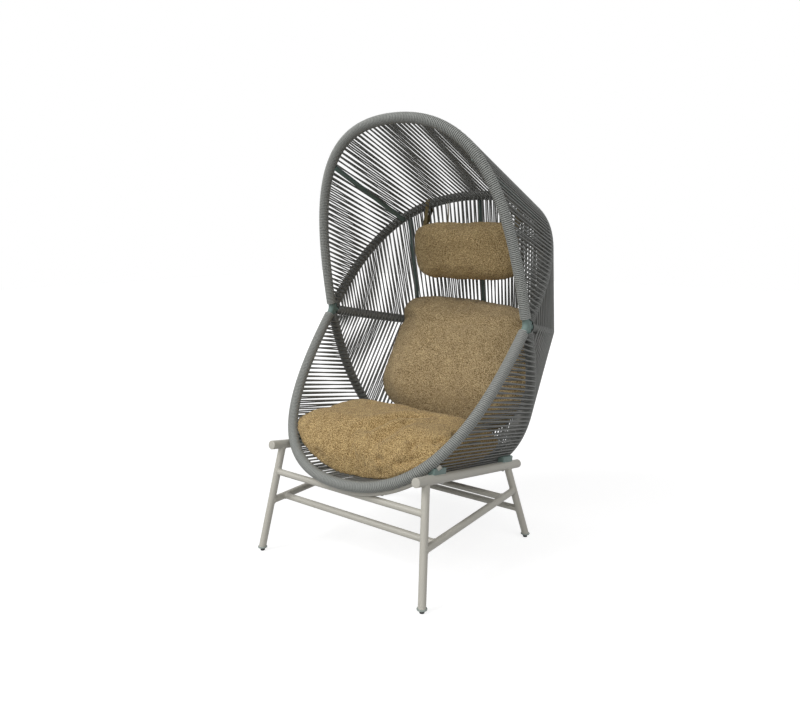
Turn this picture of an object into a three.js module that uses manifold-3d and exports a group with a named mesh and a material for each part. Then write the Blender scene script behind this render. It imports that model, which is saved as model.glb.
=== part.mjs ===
// Pod chair: a hooded lounge shell of bent tube bows, wound and strung with round cord,
// that sits between two rails on a splayed four-legged base. Three loose cushions fill it.
// Millimetres, +Z up, the chair faces -Y and is mirrored about X = 0.

import * as THREE from 'three';
import { mergeVertices } from 'three/addons/utils/BufferGeometryUtils.js';
import Module from 'manifold-3d';

const wasm = await Module();
wasm.setup();

// Clearances
const touchGap = 0.3;       // left between pieces that touch
const cutOverrun = 2;       // a cutting solid runs past the faces that it cuts
const stayClearance = 0.8;  // a stay to the strands that it lies against

// Shell bows: every bow lies in a plane through the hub axis and ends at both hubs
const hubHalf = 416;        // hub to the middle plane
const hubHeight = 800;
const canopyRimReach = 668; // hub axis to the top of each bow
const rearArchReach = 569;
const middleHoopReach = 448;
const lowerHoopReach = 610;
const lowerRimReach = 651;
const canopyRimAngle = 103.3; // degrees, from straight back up towards the front
const rearArchAngle = 48.9;
const middleHoopAngle = -11.1;
const lowerHoopAngle = -73.3;
const lowerRimAngle = -131.65;

// Shell tube and cord
const bowTubeDiameter = 24;
const stayDiameter = 18;
const cordDiameter = 5.6;
const rimBareLength = 22;   // bare tube from a hub to the first turn on the front rim
const bowBareLength = 60;   // the same on the three rear bows
const bowWeldSetback = 9;   // the rear bows' ends from the hub axis, before they are coped
const strandSetback = 96;   // from a hub to the first strand of a panel
const strandsPerPanel = 38;

// Base
const railDiameter = 30;
const railWall = 2;
const railHalfSpacing = 302;
const railFrontDepth = 432; // rail ends in front of and behind the hub axis
const railRearDepth = 181;
const railFrontHeight = 382;
const railRearHeight = 276;
const railCapThickness = 3;
const railPlugLength = 14;
const legDiameter = 25;
const frontFootHalf = 343.5;
const rearFootHalf = 336;
const frontFootDepth = 458.5;
const rearFootDepth = 204;
const crossbarDiameter = 22;
const sideStretcherDiameter = 24;
const cradleDiameter = 18;
const cradleTurn = 18;      // degrees, from square below the lower rim towards its outside

// Feet
const legEndHeight = 15;
const flangeDiameter = 32;
const flangeThickness = 4;
const insertDiameter = 16;
const insertLength = 17;
const stemDiameter = 6;
const stemLength = 14;
const glideDiameter = 16;
const glideBevel = 1.5;

// Brackets between rails and shell
const frontBracketDepth = 318.6; // in front of and behind the hub axis
const rearBracketDepth = 101.3;
const bracketWidth = 24;
const bracketLength = 66;
const bracketHeight = 34;   // above the rail's axis
const boltDiameter = 6;
const boltHeadDiameter = 11;
const boltHeadHeight = 3.5;
const boltShift = 22;       // bolt from its bracket's middle, towards the rail's middle
const boltGrip = 8;         // bolt above the rail, in its bracket

// Cushions
const seatCrownHeight = 480;
const seatLeastRise = 36;
const backThickness = 185;
const pillowHalfWidth = 222;
const pillowHalfHeight = 105;
const pillowThickness = 112;
const pillowHeight = 1019;
const pillowDepth = 303;    // behind the hub axis
const pillowLean = 7;       // degrees
const pillowSwing = 45;     // degrees, forwards and up about the rear arch
const strapWidth = 16;
const strapThickness = 3;
const tieDiameter = 4;

// Shares of the sizes that they follow
const rimShares = [0.962, 0.587, 0.807];       // a bow's shoulder width, shoulder reach, crown width
const rearArchShares = [1.034, 0.639, 0.745];
const middleHoopShares = [1.036, 0.651, 0.696];
const lowerHoopShares = [1.048, 0.4945, 0.774];
const lowerRimShares = [0.962, 0.5515, 0.796];
const frontLegShare = 0.08;     // along the rail
const rearLegShare = 0.88;
const frontStretcherShare = 0.53; // down the front leg
const rearStretcherShare = 0.34;  // down the rear leg
const rearCrossbarShare = 0.6;
const frontCrossShare = 0.11;     // along the side stretcher
const rearCrossShare = 0.86;
const strutRimShare = 0.315;      // along a bow, from a hub
const strutArchShare = 0.296;
const stayArchShare = 0.316;
const stayHoopShare = 0.3;
const cradleEndShare = 0.294;
const strapArchShare = 0.372;     // along the rear arch, from a hub
const tieArchShare = 0.42;
const tiePillowShare = 0.35;      // of the pillow's half width
const seatSpanShare = 0.25;       // half the cushion's width, along the bows
const seatFrontShare = 0.02;      // from the lower rim to the lower hoop
const seatRearShare = 0.82;
const backSpanShare = 0.254;
const backBottomShare = 0.24;     // up the lower back panel
const backTopShare = 0.225;        // up the back panel

// Facets
const bowSteps = 26;
const bowSides = 8;
const barSides = 10;
const strandSides = 3;
const footSides = 12;
const swingSteps = 6;
const padRings = 7;
const padSpokes = 32;
const padSquareness = 4.6;        // a superellipse's power: 2 is round
const pillowSquareness = 3.6;
const padFullness = 4;            // the power that keeps a pad full towards its seam

// Finishes
const cordGrey = { color: 0x7d8280, roughness: 0.62, metalness: 0 };
const shellPaint = { color: 0x6f8580, roughness: 0.45, metalness: 0.1 };
const basePaint = { color: 0xb0aca2, roughness: 0.45, metalness: 0.1 };
const glideBlack = { color: 0x17181a, roughness: 0.5, metalness: 0 };
const boltSteel = { color: 0x9c9d9b, roughness: 0.35, metalness: 0.9 };
const ochreWeave = { color: 0xa48a58, roughness: 0.95, metalness: 0 };
const strapOlive = { color: 0x6d6242, roughness: 0.9, metalness: 0 };

const bowRadius = bowTubeDiameter / 2;
const woundRadius = bowRadius + touchGap + cordDiameter;
const sideNames = { '-1': 'left', 1: 'right' };
const sides = [-1, 1];
const chair = new THREE.Group();

function at(x, y, z) {
  return new THREE.Vector3(x, y, z);
}

function along(from, to, share) {
  return from.clone().lerp(to, share);
}

function radians(degrees) {
  return THREE.MathUtils.degToRad(degrees);
}

// Solids and meshes

function signedVolume(geometry) {
  const place = geometry.getAttribute('position');
  const index = geometry.getIndex();
  const corners = [at(0, 0, 0), at(0, 0, 0), at(0, 0, 0)];
  let six = 0;
  for (let i = 0; i < index.count; i += 3) {
    corners.forEach((corner, k) => corner.fromBufferAttribute(place, index.getX(i + k)));
    six += corners[0].dot(corners[1].clone().cross(corners[2]));
  }
  return six / 6;
}

// Joined vertices and outward faces, whichever way a geometry class winds them.
function welded(geometry) {
  const bare = geometry.clone();
  bare.deleteAttribute('normal');
  bare.deleteAttribute('uv');
  const merged = mergeVertices(bare, touchGap / 100);
  if (signedVolume(merged) < 0) {
    const order = Array.from(merged.getIndex().array);
    for (let i = 0; i < order.length; i += 3) {
      [order[i], order[i + 1]] = [order[i + 1], order[i]];
    }
    merged.setIndex(order);
  }
  return merged;
}

function solid(geometry) {
  const shape = welded(geometry);
  return new wasm.Manifold(new wasm.Mesh({
    numProp: 3,
    vertProperties: Float32Array.from(shape.getAttribute('position').array),
    triVerts: Uint32Array.from(shape.getIndex().array),
  }));
}

function surface(manifold) {
  const mesh = manifold.getMesh();
  const geometry = new THREE.BufferGeometry();
  geometry.setAttribute('position', new THREE.BufferAttribute(mesh.vertProperties, 3));
  geometry.setIndex(new THREE.BufferAttribute(mesh.triVerts, 1));
  return geometry;
}

function cut(body, ...tools) {
  return tools.reduce((rest, tool) => rest.subtract(tool), body);
}

function join(bodies) {
  return bodies.reduce((whole, body) => whole.add(body));
}

function addPart(name, shape, finish) {
  const geometry = shape instanceof THREE.BufferGeometry ? welded(shape) : surface(shape);
  geometry.computeVertexNormals();
  const mesh = new THREE.Mesh(geometry, new THREE.MeshStandardMaterial(finish));
  mesh.name = name;
  chair.add(mesh);
}

// Rods, rings and sweeps

function rodShape(from, to, radius, facets = barSides) {
  const line = to.clone().sub(from);
  const rod = new THREE.CylinderGeometry(radius, radius, line.length(), facets);
  rod.applyQuaternion(new THREE.Quaternion().setFromUnitVectors(at(0, 1, 0), line.normalize()));
  rod.translate(...along(from, to, 1 / 2).toArray());
  return rod;
}

function rod(from, to, radius, facets) {
  return solid(rodShape(from, to, radius, facets));
}

function roundSection(radius, facets) {
  const turn = (2 * Math.PI) / facets;
  return Array.from({ length: facets }, (_, i) => (
    new THREE.Vector2(radius * Math.cos(i * turn), radius * Math.sin(i * turn))));
}

// A faceted bore is opened so that its flats clear a round tube.
function boreRadius(radius, facets) {
  return (radius + touchGap) / Math.cos(Math.PI / facets);
}

// A path sampled at chosen places, so that a tube and its winding share their corners.
class Stations extends THREE.Curve {
  constructor(path, stops) {
    super();
    this.path = path;
    this.stops = stops;
  }

  share(u) {
    const place = u * (this.stops.length - 1);
    const first = Math.min(Math.floor(place), this.stops.length - 2);
    return THREE.MathUtils.lerp(this.stops[first], this.stops[first + 1], place - first);
  }

  getPoint(u, target = at(0, 0, 0)) {
    return target.copy(this.path.getPoint(this.share(u)));
  }

  getPointAt(u, target) {
    return this.getPoint(u, target);
  }

  getTangentAt(u, target = at(0, 0, 0)) {
    const here = this.share(u);
    const step = Math.min(1 / (bowSteps * bowSteps), here, 1 - here) || 1 / (bowSteps * bowSteps);
    const ahead = this.path.getPoint(Math.min(here + step, 1));
    return target.copy(ahead.sub(this.path.getPoint(Math.max(here - step, 0)))).normalize();
  }
}

function sweep(curve, radius, bore = 0) {
  const section = new THREE.Shape(roundSection(radius, bowSides));
  if (bore > 0) {
    section.holes.push(new THREE.Path(roundSection(bore, bowSides)));
  }
  const steps = curve.stops.length - 1;
  return new THREE.ExtrudeGeometry(section, { steps, extrudePath: curve, bevelEnabled: false });
}

// Bows

function bowSpot(across, reach, angle) {
  return at(across, reach * Math.cos(radians(angle)), hubHeight + reach * Math.sin(radians(angle)));
}

function bowPath(reach, angle, [shoulderWidth, shoulderReach, crownWidth]) {
  const half = (side) => [
    bowSpot(side * hubHalf, 0, angle),
    bowSpot(side * hubHalf * shoulderWidth, reach * shoulderReach, angle),
    bowSpot(side * hubHalf * crownWidth, reach, angle),
    bowSpot(0, reach, angle),
  ];
  const path = new THREE.CurvePath();
  path.add(new THREE.CubicBezierCurve3(...half(-1)));
  path.add(new THREE.CubicBezierCurve3(...half(1).reverse()));
  return path;
}

function makeBow(reach, angle, shares, start, bare) {
  const path = bowPath(reach, angle, shares);
  const length = path.getLength();
  const wound = Array.from({ length: bowSteps + 1 }, (_, i) => (
    THREE.MathUtils.lerp(bare / length, 1 - bare / length, i / bowSteps)));
  const stops = [start / length, ...wound, 1 - start / length];
  return {
    path,
    length,
    wound,
    tube: solid(sweep(new Stations(path, stops), bowRadius)),
    tubeSpace: solid(sweep(new Stations(path, stops), bowRadius + touchGap)),
    winding: solid(sweep(new Stations(path, wound), woundRadius, boreRadius(bowRadius, bowSides))),
    woundSpace: solid(sweep(new Stations(path, wound), woundRadius + touchGap)),
  };
}

const canopyRim = makeBow(canopyRimReach, canopyRimAngle, rimShares, 0, rimBareLength);
const lowerRim = makeBow(lowerRimReach, lowerRimAngle, lowerRimShares, 0, rimBareLength);
const rearArch = makeBow(rearArchReach, rearArchAngle, rearArchShares, bowWeldSetback, bowBareLength);
const middleHoop = makeBow(
  middleHoopReach, middleHoopAngle, middleHoopShares, bowWeldSetback, bowBareLength);
const lowerHoop = makeBow(
  lowerHoopReach, lowerHoopAngle, lowerHoopShares, bowWeldSetback, bowBareLength);

// The front rim is one ring, bent at both hubs; the rear bows are coped to it and to each other.
function elbow(side, radius) {
  const ball = new THREE.SphereGeometry(radius, barSides, bowSides);
  ball.translate(side * hubHalf, 0, hubHeight);
  return solid(ball);
}

function addBowTubes() {
  const ring = (radius, upper, lower) => join([
    upper, lower, ...sides.map((side) => elbow(side, radius))]);
  const ringSpace = ring(bowRadius + touchGap, canopyRim.tubeSpace, lowerRim.tubeSpace);
  addPart('front_rim_tube', ring(bowRadius, canopyRim.tube, lowerRim.tube), shellPaint);
  addPart('rear_arch_tube', cut(rearArch.tube, ringSpace), shellPaint);
  addPart('middle_hoop_tube', cut(middleHoop.tube, ringSpace, rearArch.tubeSpace), shellPaint);
  addPart('lower_hoop_tube', cut(lowerHoop.tube, ringSpace, middleHoop.tubeSpace), shellPaint);
}

// Cords: the winding on a bow carries the strands that cross to the next bow

function outwardNormal(first, second, share) {
  const here = first.path.getPoint(share);
  const across = first.path.getPoint(share + 1 / bowSteps / 2)
    .sub(first.path.getPoint(share - 1 / bowSteps / 2));
  const normal = second.path.getPoint(share).sub(here).cross(across).normalize();
  const middle = along(here, second.path.getPoint(share), 1 / 2).sub(at(0, 0, hubHeight));
  return normal.dot(middle) < 0 ? normal.negate() : normal;
}

// A place on the bow as it is faceted, so that strands meet the winding where it really lies.
function facetSpot(bow, share) {
  const place = ((share - bow.wound[0]) / (bow.wound[bowSteps] - bow.wound[0])) * bowSteps;
  const first = Math.min(Math.floor(place), bowSteps - 1);
  const [from, to] = [first, first + 1].map((step) => bow.path.getPoint(bow.wound[step]));
  return { spot: along(from, to, place - first), tangent: to.sub(from).normalize() };
}

// A strand starts inside the winding of its own bow and stops just short of the next one.
function strand(first, second, share, spare) {
  const [from, to] = [facetSpot(first, share), facetSpot(second, share)];
  const line = to.spot.clone().sub(from.spot).normalize();
  const radius = cordDiameter / 2;
  const lean = Math.abs(line.dot(to.tangent));
  const square = line.clone().cross(from.tangent).length();
  const wallInside = boreRadius(bowRadius, bowSides);
  const wallOutside = woundRadius * Math.cos(Math.PI / bowSides);
  const start = (wallInside + wallOutside) / 2 / square;
  const stop = (woundRadius + touchGap + radius * lean) / Math.sqrt(1 - lean ** 2);
  return rod(from.spot.addScaledVector(line, start), to.spot.addScaledVector(line, -stop),
    radius + spare, strandSides);
}

function panelStrands(first, second, spare) {
  const start = strandSetback / Math.min(first.length, second.length);
  return Array.from({ length: strandsPerPanel }, (_, i) => (
    strand(first, second, THREE.MathUtils.lerp(start, 1 - start, i / (strandsPerPanel - 1)), spare)));
}

function addPanel(name, winding, first, second) {
  addPart(name, join([winding, ...panelStrands(first, second, 0)]), cordGrey);
}

// The front windings are notched where a rear bow leaves the ring.
function addCords() {
  const hoodWinding = cut(canopyRim.winding, rearArch.tubeSpace);
  addPanel('canopy_cords', hoodWinding, canopyRim, rearArch);
  addPanel('back_cords', rearArch.winding, rearArch, middleHoop);
  addPanel('lower_back_cords', middleHoop.winding, middleHoop, lowerHoop);
  addPanel('seat_cords', lowerHoop.winding, lowerHoop, lowerRim);
  addPart('lower_rim_winding', cut(lowerRim.winding, lowerHoop.tubeSpace), cordGrey);
}

// Struts under the hood and stays behind the back, between the wound bows. They lie against the
// strands: the struts inside the shell, the stays outside it.
function stay(first, second, shareFirst, shareSecond, outward) {
  const radius = stayDiameter / 2;
  const offset = outward * (radius + stayClearance + cordDiameter / 2);
  const spot = (bow, share) => facetSpot(bow, share).spot
    .addScaledVector(outwardNormal(first, second, share), offset);
  return cut(rod(spot(first, shareFirst), spot(second, shareSecond), radius),
    first.woundSpace, second.woundSpace);
}

function addStays() {
  for (const side of sides) {
    const place = (share) => (side < 0 ? share : 1 - share);
    addPart(`canopy_strut_${sideNames[side]}`,
      stay(canopyRim, rearArch, place(strutRimShare), place(strutArchShare), -1), shellPaint);
    addPart(`back_stay_${sideNames[side]}`,
      stay(rearArch, middleHoop, place(stayArchShare), place(stayHoopShare), 1), shellPaint);
  }
  addPart('back_stay_centre', stay(rearArch, middleHoop, 1 / 2, 1 / 2, 1), shellPaint);
}

// Base frame

function railEnd(side, front) {
  return front
    ? at(side * railHalfSpacing, -railFrontDepth, railFrontHeight)
    : at(side * railHalfSpacing, railRearDepth, railRearHeight);
}

function railSpot(side, share) {
  return along(railEnd(side, true), railEnd(side, false), share);
}

// The brackets follow the shell, so their places along a rail count from the hub axis.
function bracketShare(front) {
  const depth = front ? -frontBracketDepth : rearBracketDepth;
  return (railFrontDepth + depth) / (railFrontDepth + railRearDepth);
}

function legTop(side, front) {
  return railSpot(side, front ? frontLegShare : rearLegShare);
}

function foot(side, front) {
  return front
    ? at(side * frontFootHalf, -frontFootDepth, 0)
    : at(side * rearFootHalf, rearFootDepth, 0);
}

function legSpot(side, front, share) {
  return along(legTop(side, front), foot(side, front), share);
}

function railSpace(side) {
  return rod(railEnd(side, true), railEnd(side, false), railDiameter / 2 + touchGap);
}

function legSpace(side, front) {
  return rod(legTop(side, front), foot(side, front), legDiameter / 2 + touchGap);
}

// A line square to the rail, upwards through its axis, on which a bracket or its bolt stands.
function squareLine(side, share, shift) {
  const run = railSpot(side, 1).sub(railSpot(side, 0)).normalize();
  const up = at(1, 0, 0).cross(run);
  return (height) => railSpot(side, share).addScaledVector(run, shift).addScaledVector(up, height);
}

function boltLine(side, front) {
  return squareLine(side, bracketShare(front), front ? boltShift : -boltShift);
}

function boltHole(side, front) {
  const level = boltLine(side, front);
  const reach = railDiameter / 2 + boltGrip + touchGap;
  return rod(level(-reach), level(reach), boreRadius(boltDiameter / 2, barSides));
}

function addRails() {
  const radius = railDiameter / 2;
  const boreSize = radius - railWall;
  for (const side of sides) {
    const front = railEnd(side, true);
    const rear = railEnd(side, false);
    const run = rear.clone().sub(front).normalize();
    const beyond = run.clone().multiplyScalar(cutOverrun);
    const bore = rod(front.clone().sub(beyond), rear.clone().add(beyond), boreSize);
    const boltHoles = [true, false].map((isFront) => boltHole(side, isFront));
    addPart(`rail_${sideNames[side]}`, cut(rod(front, rear, radius), bore, ...boltHoles), basePaint);
    for (const [end, out, place] of [[front, -1, 'front'], [rear, 1, 'rear']]) {
      const spot = (distance) => end.clone().addScaledVector(run, out * distance);
      const face = rod(spot(touchGap), spot(touchGap + railCapThickness), radius);
      const plug = rod(spot(-railPlugLength), spot(touchGap + railCapThickness / 2),
        boreSize - touchGap * 2);
      addPart(`rail_cap_${place}_${sideNames[side]}`, join([face, plug]), basePaint);
    }
  }
}

function footEnd(side, front) {
  return legSpot(side, front, 1 - legEndHeight / legTop(side, front).z);
}

function addLegs() {
  const size = 4 * frontFootDepth;
  const below = new THREE.BoxGeometry(size, size, size);
  below.translate(0, 0, legEndHeight - size / 2);
  const floorSpace = solid(below);
  for (const side of sides) {
    for (const front of [true, false]) {
      const top = legTop(side, front);
      const end = footEnd(side, front);
      const up = top.clone().sub(end).normalize();
      const socket = rod(
        end.clone().addScaledVector(up, -insertDiameter / 2),
        end.clone().addScaledVector(up, insertLength + touchGap),
        boreRadius(insertDiameter / 2, footSides),
        footSides,
      );
      const leg = rod(top, foot(side, front), legDiameter / 2);
      const name = `${front ? 'front' : 'rear'}_${sideNames[side]}`;
      addPart(`leg_${name}`, cut(leg, railSpace(side), floorSpace, socket), basePaint);
      addFoot(name, end, up);
    }
  }
}

// A flanged insert in each leg takes the threaded stem of a levelling glide.
function addFoot(name, end, up) {
  const level = (height) => at(end.x, end.y, height);
  const flangeTop = legEndHeight - touchGap;
  const flangeBottom = flangeTop - flangeThickness;
  const padTop = flangeBottom - touchGap;
  const stemRadius = stemDiameter / 2;
  const padRadius = glideDiameter / 2;
  const plug = rod(
    end.clone().addScaledVector(up, -touchGap - flangeThickness / 4),
    end.clone().addScaledVector(up, insertLength),
    insertDiameter / 2 - touchGap,
    footSides,
  );
  const flange = rod(level(flangeBottom), level(flangeTop), flangeDiameter / 2, footSides);
  const threadBore = rod(level(flangeBottom - cutOverrun), level(padTop + stemLength + touchGap),
    boreRadius(stemRadius, barSides));
  addPart(`foot_insert_${name}`, cut(join([flange, plug]), threadBore), shellPaint);

  const outline = [
    [0, 0], [padRadius - glideBevel, 0], [padRadius, glideBevel], [padRadius, padTop],
    [stemRadius, padTop], [stemRadius, padTop + stemLength], [0, padTop + stemLength],
  ].map(([radius, height]) => new THREE.Vector2(radius, height));
  const glide = new THREE.LatheGeometry(outline, barSides);
  glide.rotateX(Math.PI / 2);
  glide.translate(end.x, end.y, 0);
  addPart(`foot_glide_${name}`, glide, glideBlack);
}

// Cradle bar: follows the lower rim just below it, from rail to rail

const cradleRadius = cradleDiameter / 2;
const crossbarRadius = crossbarDiameter / 2;

function cradleSpot(share) {
  const near = 1 / bowSteps / 2;
  const tangent = lowerRim.path.getPoint(share + near)
    .sub(lowerRim.path.getPoint(share - near)).normalize();
  const angle = radians(lowerRimAngle);
  const below = at(0, -Math.sin(angle), Math.cos(angle));
  const outward = below.clone().cross(tangent);
  const turn = radians(cradleTurn);
  const distance = woundRadius + touchGap + cradleRadius;
  return lowerRim.path.getPoint(share)
    .addScaledVector(below, distance * Math.cos(turn))
    .addScaledVector(outward, distance * Math.sin(turn));
}

const cradleCurve = new Stations(
  { getPoint: cradleSpot },
  lowerRim.wound.filter((share) => share > cradleEndShare && share < 1 - cradleEndShare),
);

function cradleBar(spare) {
  return solid(sweep(cradleCurve, cradleRadius + spare));
}

// How far down the front legs the upper crossbar just meets the cradle bar.
function touchingShare(start, end, centre, distance) {
  const run = end.clone().sub(start);
  const off = start.clone().sub(centre);
  const rise = run.dot(off);
  const room = rise ** 2 - run.lengthSq() * (off.lengthSq() - distance ** 2);
  return (Math.sqrt(Math.max(room, 0)) - rise) / run.lengthSq();
}

function frontCrossbarShare() {
  const flat = (spot) => at(0, spot.y, spot.z);
  return touchingShare(
    flat(legTop(1, true)),
    flat(foot(1, true)),
    cradleSpot(1 / 2),
    cradleRadius + touchGap + crossbarRadius,
  );
}

function stretcherEnds(side) {
  return [legSpot(side, true, frontStretcherShare), legSpot(side, false, rearStretcherShare)];
}

function stretcherSpace(side) {
  return rod(...stretcherEnds(side), sideStretcherDiameter / 2 + touchGap);
}

function addBars() {
  const legSpaces = sides.flatMap((side) => [legSpace(side, true), legSpace(side, false)]);
  const stretcherSpaces = sides.map(stretcherSpace);
  const frontShare = frontCrossbarShare();
  const between = (spot) => rod(spot(-1), spot(1), crossbarRadius);
  addPart('cradle_bar', cut(cradleBar(0), ...sides.map(railSpace)), basePaint);
  addPart('front_crossbar',
    cut(between((side) => legSpot(side, true, frontShare)), ...legSpaces), basePaint);
  addPart('rear_crossbar',
    cut(between((side) => legSpot(side, false, rearCrossbarShare)), ...legSpaces), basePaint);
  for (const side of sides) {
    const bar = rod(...stretcherEnds(side), sideStretcherDiameter / 2);
    addPart(`side_stretcher_${sideNames[side]}`, cut(bar, ...legSpaces), basePaint);
  }
  for (const [name, share] of [['front', frontCrossShare], ['rear', rearCrossShare]]) {
    const bar = between((side) => along(...stretcherEnds(side), share));
    addPart(`${name}_cross_stretcher`, cut(bar, ...stretcherSpaces), basePaint);
  }
}

// Brackets saddle the rails under the shell; a bolt comes up through the rail into each.
function addBrackets() {
  const radius = railDiameter / 2;
  const cordSpace = join(panelStrands(lowerHoop, lowerRim, touchGap));
  const spaces = [lowerRim.woundSpace, lowerHoop.woundSpace, cradleBar(touchGap), cordSpace];
  for (const side of sides) {
    const slope = Math.atan2(railRearHeight - railFrontHeight, railFrontDepth + railRearDepth);
    for (const front of [true, false]) {
      const level = boltLine(side, front);
      const block = new THREE.BoxGeometry(bracketWidth, bracketLength, bracketHeight);
      block.translate(-side * bracketWidth / 4, 0, bracketHeight / 2);
      block.rotateX(slope);
      block.translate(...squareLine(side, bracketShare(front), 0)(0).toArray());
      const name = `${front ? 'front' : 'rear'}_${sideNames[side]}`;
      addPart(`shell_bracket_${name}`,
        cut(solid(block), railSpace(side), ...spaces, boltHole(side, front)), shellPaint);
      const headTop = -radius - touchGap;
      const shank = rod(level(headTop - boltHeadHeight / 2), level(radius + boltGrip), boltDiameter / 2);
      const head = rod(level(headTop - boltHeadHeight), level(headTop), boltHeadDiameter / 2);
      addPart(`bracket_bolt_${name}`, join([head, shank]), boltSteel);
    }
  }
}

// Cushions

// A pad is a closed skin of rings round its middle; its two faces meet at the seam.
function padSkin(face, squareness) {
  const points = [];
  const turnAt = (j) => (2 * Math.PI * j) / padSpokes;
  const put = (ring, spoke, upper) => {
    const radius = Math.sin((Math.PI / 2) * (ring / padRings));
    const fullness = Math.sqrt(1 - radius ** padFullness);
    const [across, up] = [Math.cos(turnAt(spoke)), Math.sin(turnAt(spoke))];
    const power = Math.abs(across) ** squareness + Math.abs(up) ** squareness;
    const reach = radius / power ** (1 / squareness);
    points.push(face(reach * across, reach * up, fullness, upper));
  };
  const rings = [];
  for (let ring = 0; ring < 2 * padRings + 1; ring += 1) {
    const upper = ring > padRings;
    const step = upper ? 2 * padRings - ring : ring;
    const count = step === 0 ? 1 : padSpokes;
    rings.push(points.length);
    for (let spoke = 0; spoke < count; spoke += 1) {
      put(step, spoke, upper);
    }
  }
  const index = [];
  for (let ring = 0; ring < 2 * padRings; ring += 1) {
    const here = rings[ring];
    const next = rings[ring + 1];
    for (let spoke = 0; spoke < padSpokes; spoke += 1) {
      const after = (spoke + 1) % padSpokes;
      if (ring === 0) {
        index.push(here, next + spoke, next + after);
      } else if (ring === 2 * padRings - 1) {
        index.push(here + spoke, next, here + after);
      } else {
        index.push(here + spoke, next + spoke, next + after, here + spoke, next + after, here + after);
      }
    }
  }
  const skin = new THREE.BufferGeometry().setFromPoints(points);
  skin.setIndex(index);
  return skin;
}

// The seat cushion lies on the seat cords. A spare widens it on all sides but its underside.
function seatShape(spare) {
  const panelDepth = lowerRim.path.getPoint(1 / 2).distanceTo(lowerHoop.path.getPoint(1 / 2));
  const span = seatSpanShare + spare / lowerRim.length;
  const rear = seatRearShare + spare / panelDepth;
  const face = (u, v, fullness, upper) => {
    const share = 1 / 2 + u * span;
    const depth = THREE.MathUtils.lerp(seatFrontShare, rear, (v + 1) / 2);
    const under = along(lowerRim.path.getPoint(share), lowerHoop.path.getPoint(share), depth)
      .addScaledVector(outwardNormal(lowerHoop, lowerRim, share), -cordDiameter);
    if (upper) {
      const rise = Math.max(seatCrownHeight - under.z, seatLeastRise);
      under.z += (rise + spare) * fullness;
    }
    return under;
  };
  return padSkin(face, padSquareness);
}

// The wall behind the back cushion, from the lower hoop (0) by the middle hoop (1) to the arch (2).
function wallSpot(share, rise) {
  return rise < 1
    ? along(lowerHoop.path.getPoint(share), middleHoop.path.getPoint(share), rise)
    : along(middleHoop.path.getPoint(share), rearArch.path.getPoint(share), rise - 1);
}

function backFace(u, v, fullness, upper) {
  const share = 1 / 2 + u * backSpanShare;
  const rise = THREE.MathUtils.lerp(backBottomShare, 1 + backTopShare, (v + 1) / 2);
  const near = 1 / bowSteps;
  const reach = 1 / 4;
  const across = wallSpot(share + near, rise).sub(wallSpot(share - near, rise));
  const up = wallSpot(share, rise + reach).sub(wallSpot(share, rise - reach));
  const inward = up.cross(across).normalize();
  inward.multiplyScalar(inward.y < 0 ? 1 : -1);
  const thickness = upper ? backThickness * fullness : 0;
  return wallSpot(share, rise).addScaledVector(inward, cordDiameter + thickness);
}

function pillowShape(spare) {
  const face = (u, v, fullness, upper) => at(
    u * (pillowHalfWidth + spare),
    (upper ? -1 : 1) * (pillowThickness / 2 + spare) * fullness,
    v * (pillowHalfHeight + spare),
  );
  const shape = padSkin(face, pillowSquareness);
  shape.rotateX(radians(pillowLean));
  shape.translate(0, pillowDepth, pillowHeight);
  return shape;
}

// The rear arch's winding as the pillow meets it at each step of its swing.
function swingSpaces(centre) {
  return Array.from({ length: swingSteps + 1 }, (_, i) => {
    const winding = surface(rearArch.woundSpace);
    winding.translate(0, -centre.y, -centre.z);
    winding.rotateX(radians((pillowSwing * i) / swingSteps));
    winding.translate(0, centre.y, centre.z);
    return solid(winding);
  });
}

// The pillow's straps hook over the rear arch and swing on it; their upper ends stay clear of
// the winding through the whole swing.
function addPillow() {
  const strapTop = (side) => (
    facetSpot(rearArch, side < 0 ? strapArchShare : 1 - strapArchShare).spot);
  const spaces = [...swingSpaces(strapTop(1)), solid(pillowShape(touchGap))];
  addPart('head_pillow', pillowShape(0), ochreWeave);
  for (const side of sides) {
    const top = strapTop(side);
    const end = at(top.x, pillowDepth, pillowHeight);
    const strap = new THREE.BoxGeometry(strapWidth, strapThickness, top.distanceTo(end));
    strap.rotateX(-Math.atan2(top.y - end.y, top.z - end.z));
    strap.translate(...along(top, end, 1 / 2).toArray());
    addPart(`pillow_strap_${sideNames[side]}`, cut(solid(strap), ...spaces), strapOlive);
  }
  const tie = rod(rearArch.path.getPoint(tieArchShare),
    at(-pillowHalfWidth * tiePillowShare, pillowDepth, pillowHeight), tieDiameter / 2, bowSides);
  addPart('pillow_tie', cut(tie, ...spaces), strapOlive);
}

function addCushions() {
  const seat = cut(solid(seatShape(0)), lowerRim.woundSpace, lowerHoop.woundSpace);
  const back = cut(solid(padSkin(backFace, padSquareness)), solid(seatShape(touchGap)),
    lowerHoop.woundSpace, middleHoop.woundSpace, rearArch.woundSpace);
  addPart('seat_cushion', seat, ochreWeave);
  addPart('back_cushion', back, ochreWeave);
  addPillow();
}

addBowTubes();
addCords();
addStays();
addRails();
addLegs();
addBars();
addBrackets();
addCushions();

// The hub axis moves so that the chair stands over the middle of its own outline.
const outline = new THREE.Box3().setFromObject(chair, true);
chair.position.y = -(outline.min.y + outline.max.y) / 2;

export default chair;
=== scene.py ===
# %% [markdown]
# A hooded pod chair: a shell of bent tube bows, wound and strung with braided cord, cradled
# between two rails on a splayed tube base, with three cushions. The solids of the part are
# loaded first, as a fixed frame in metres. Every visible piece is then built round them.

# %% Load the frame
import math

import bmesh
import bpy
import numpy as np
from mathutils import Matrix, Vector, noise


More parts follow.
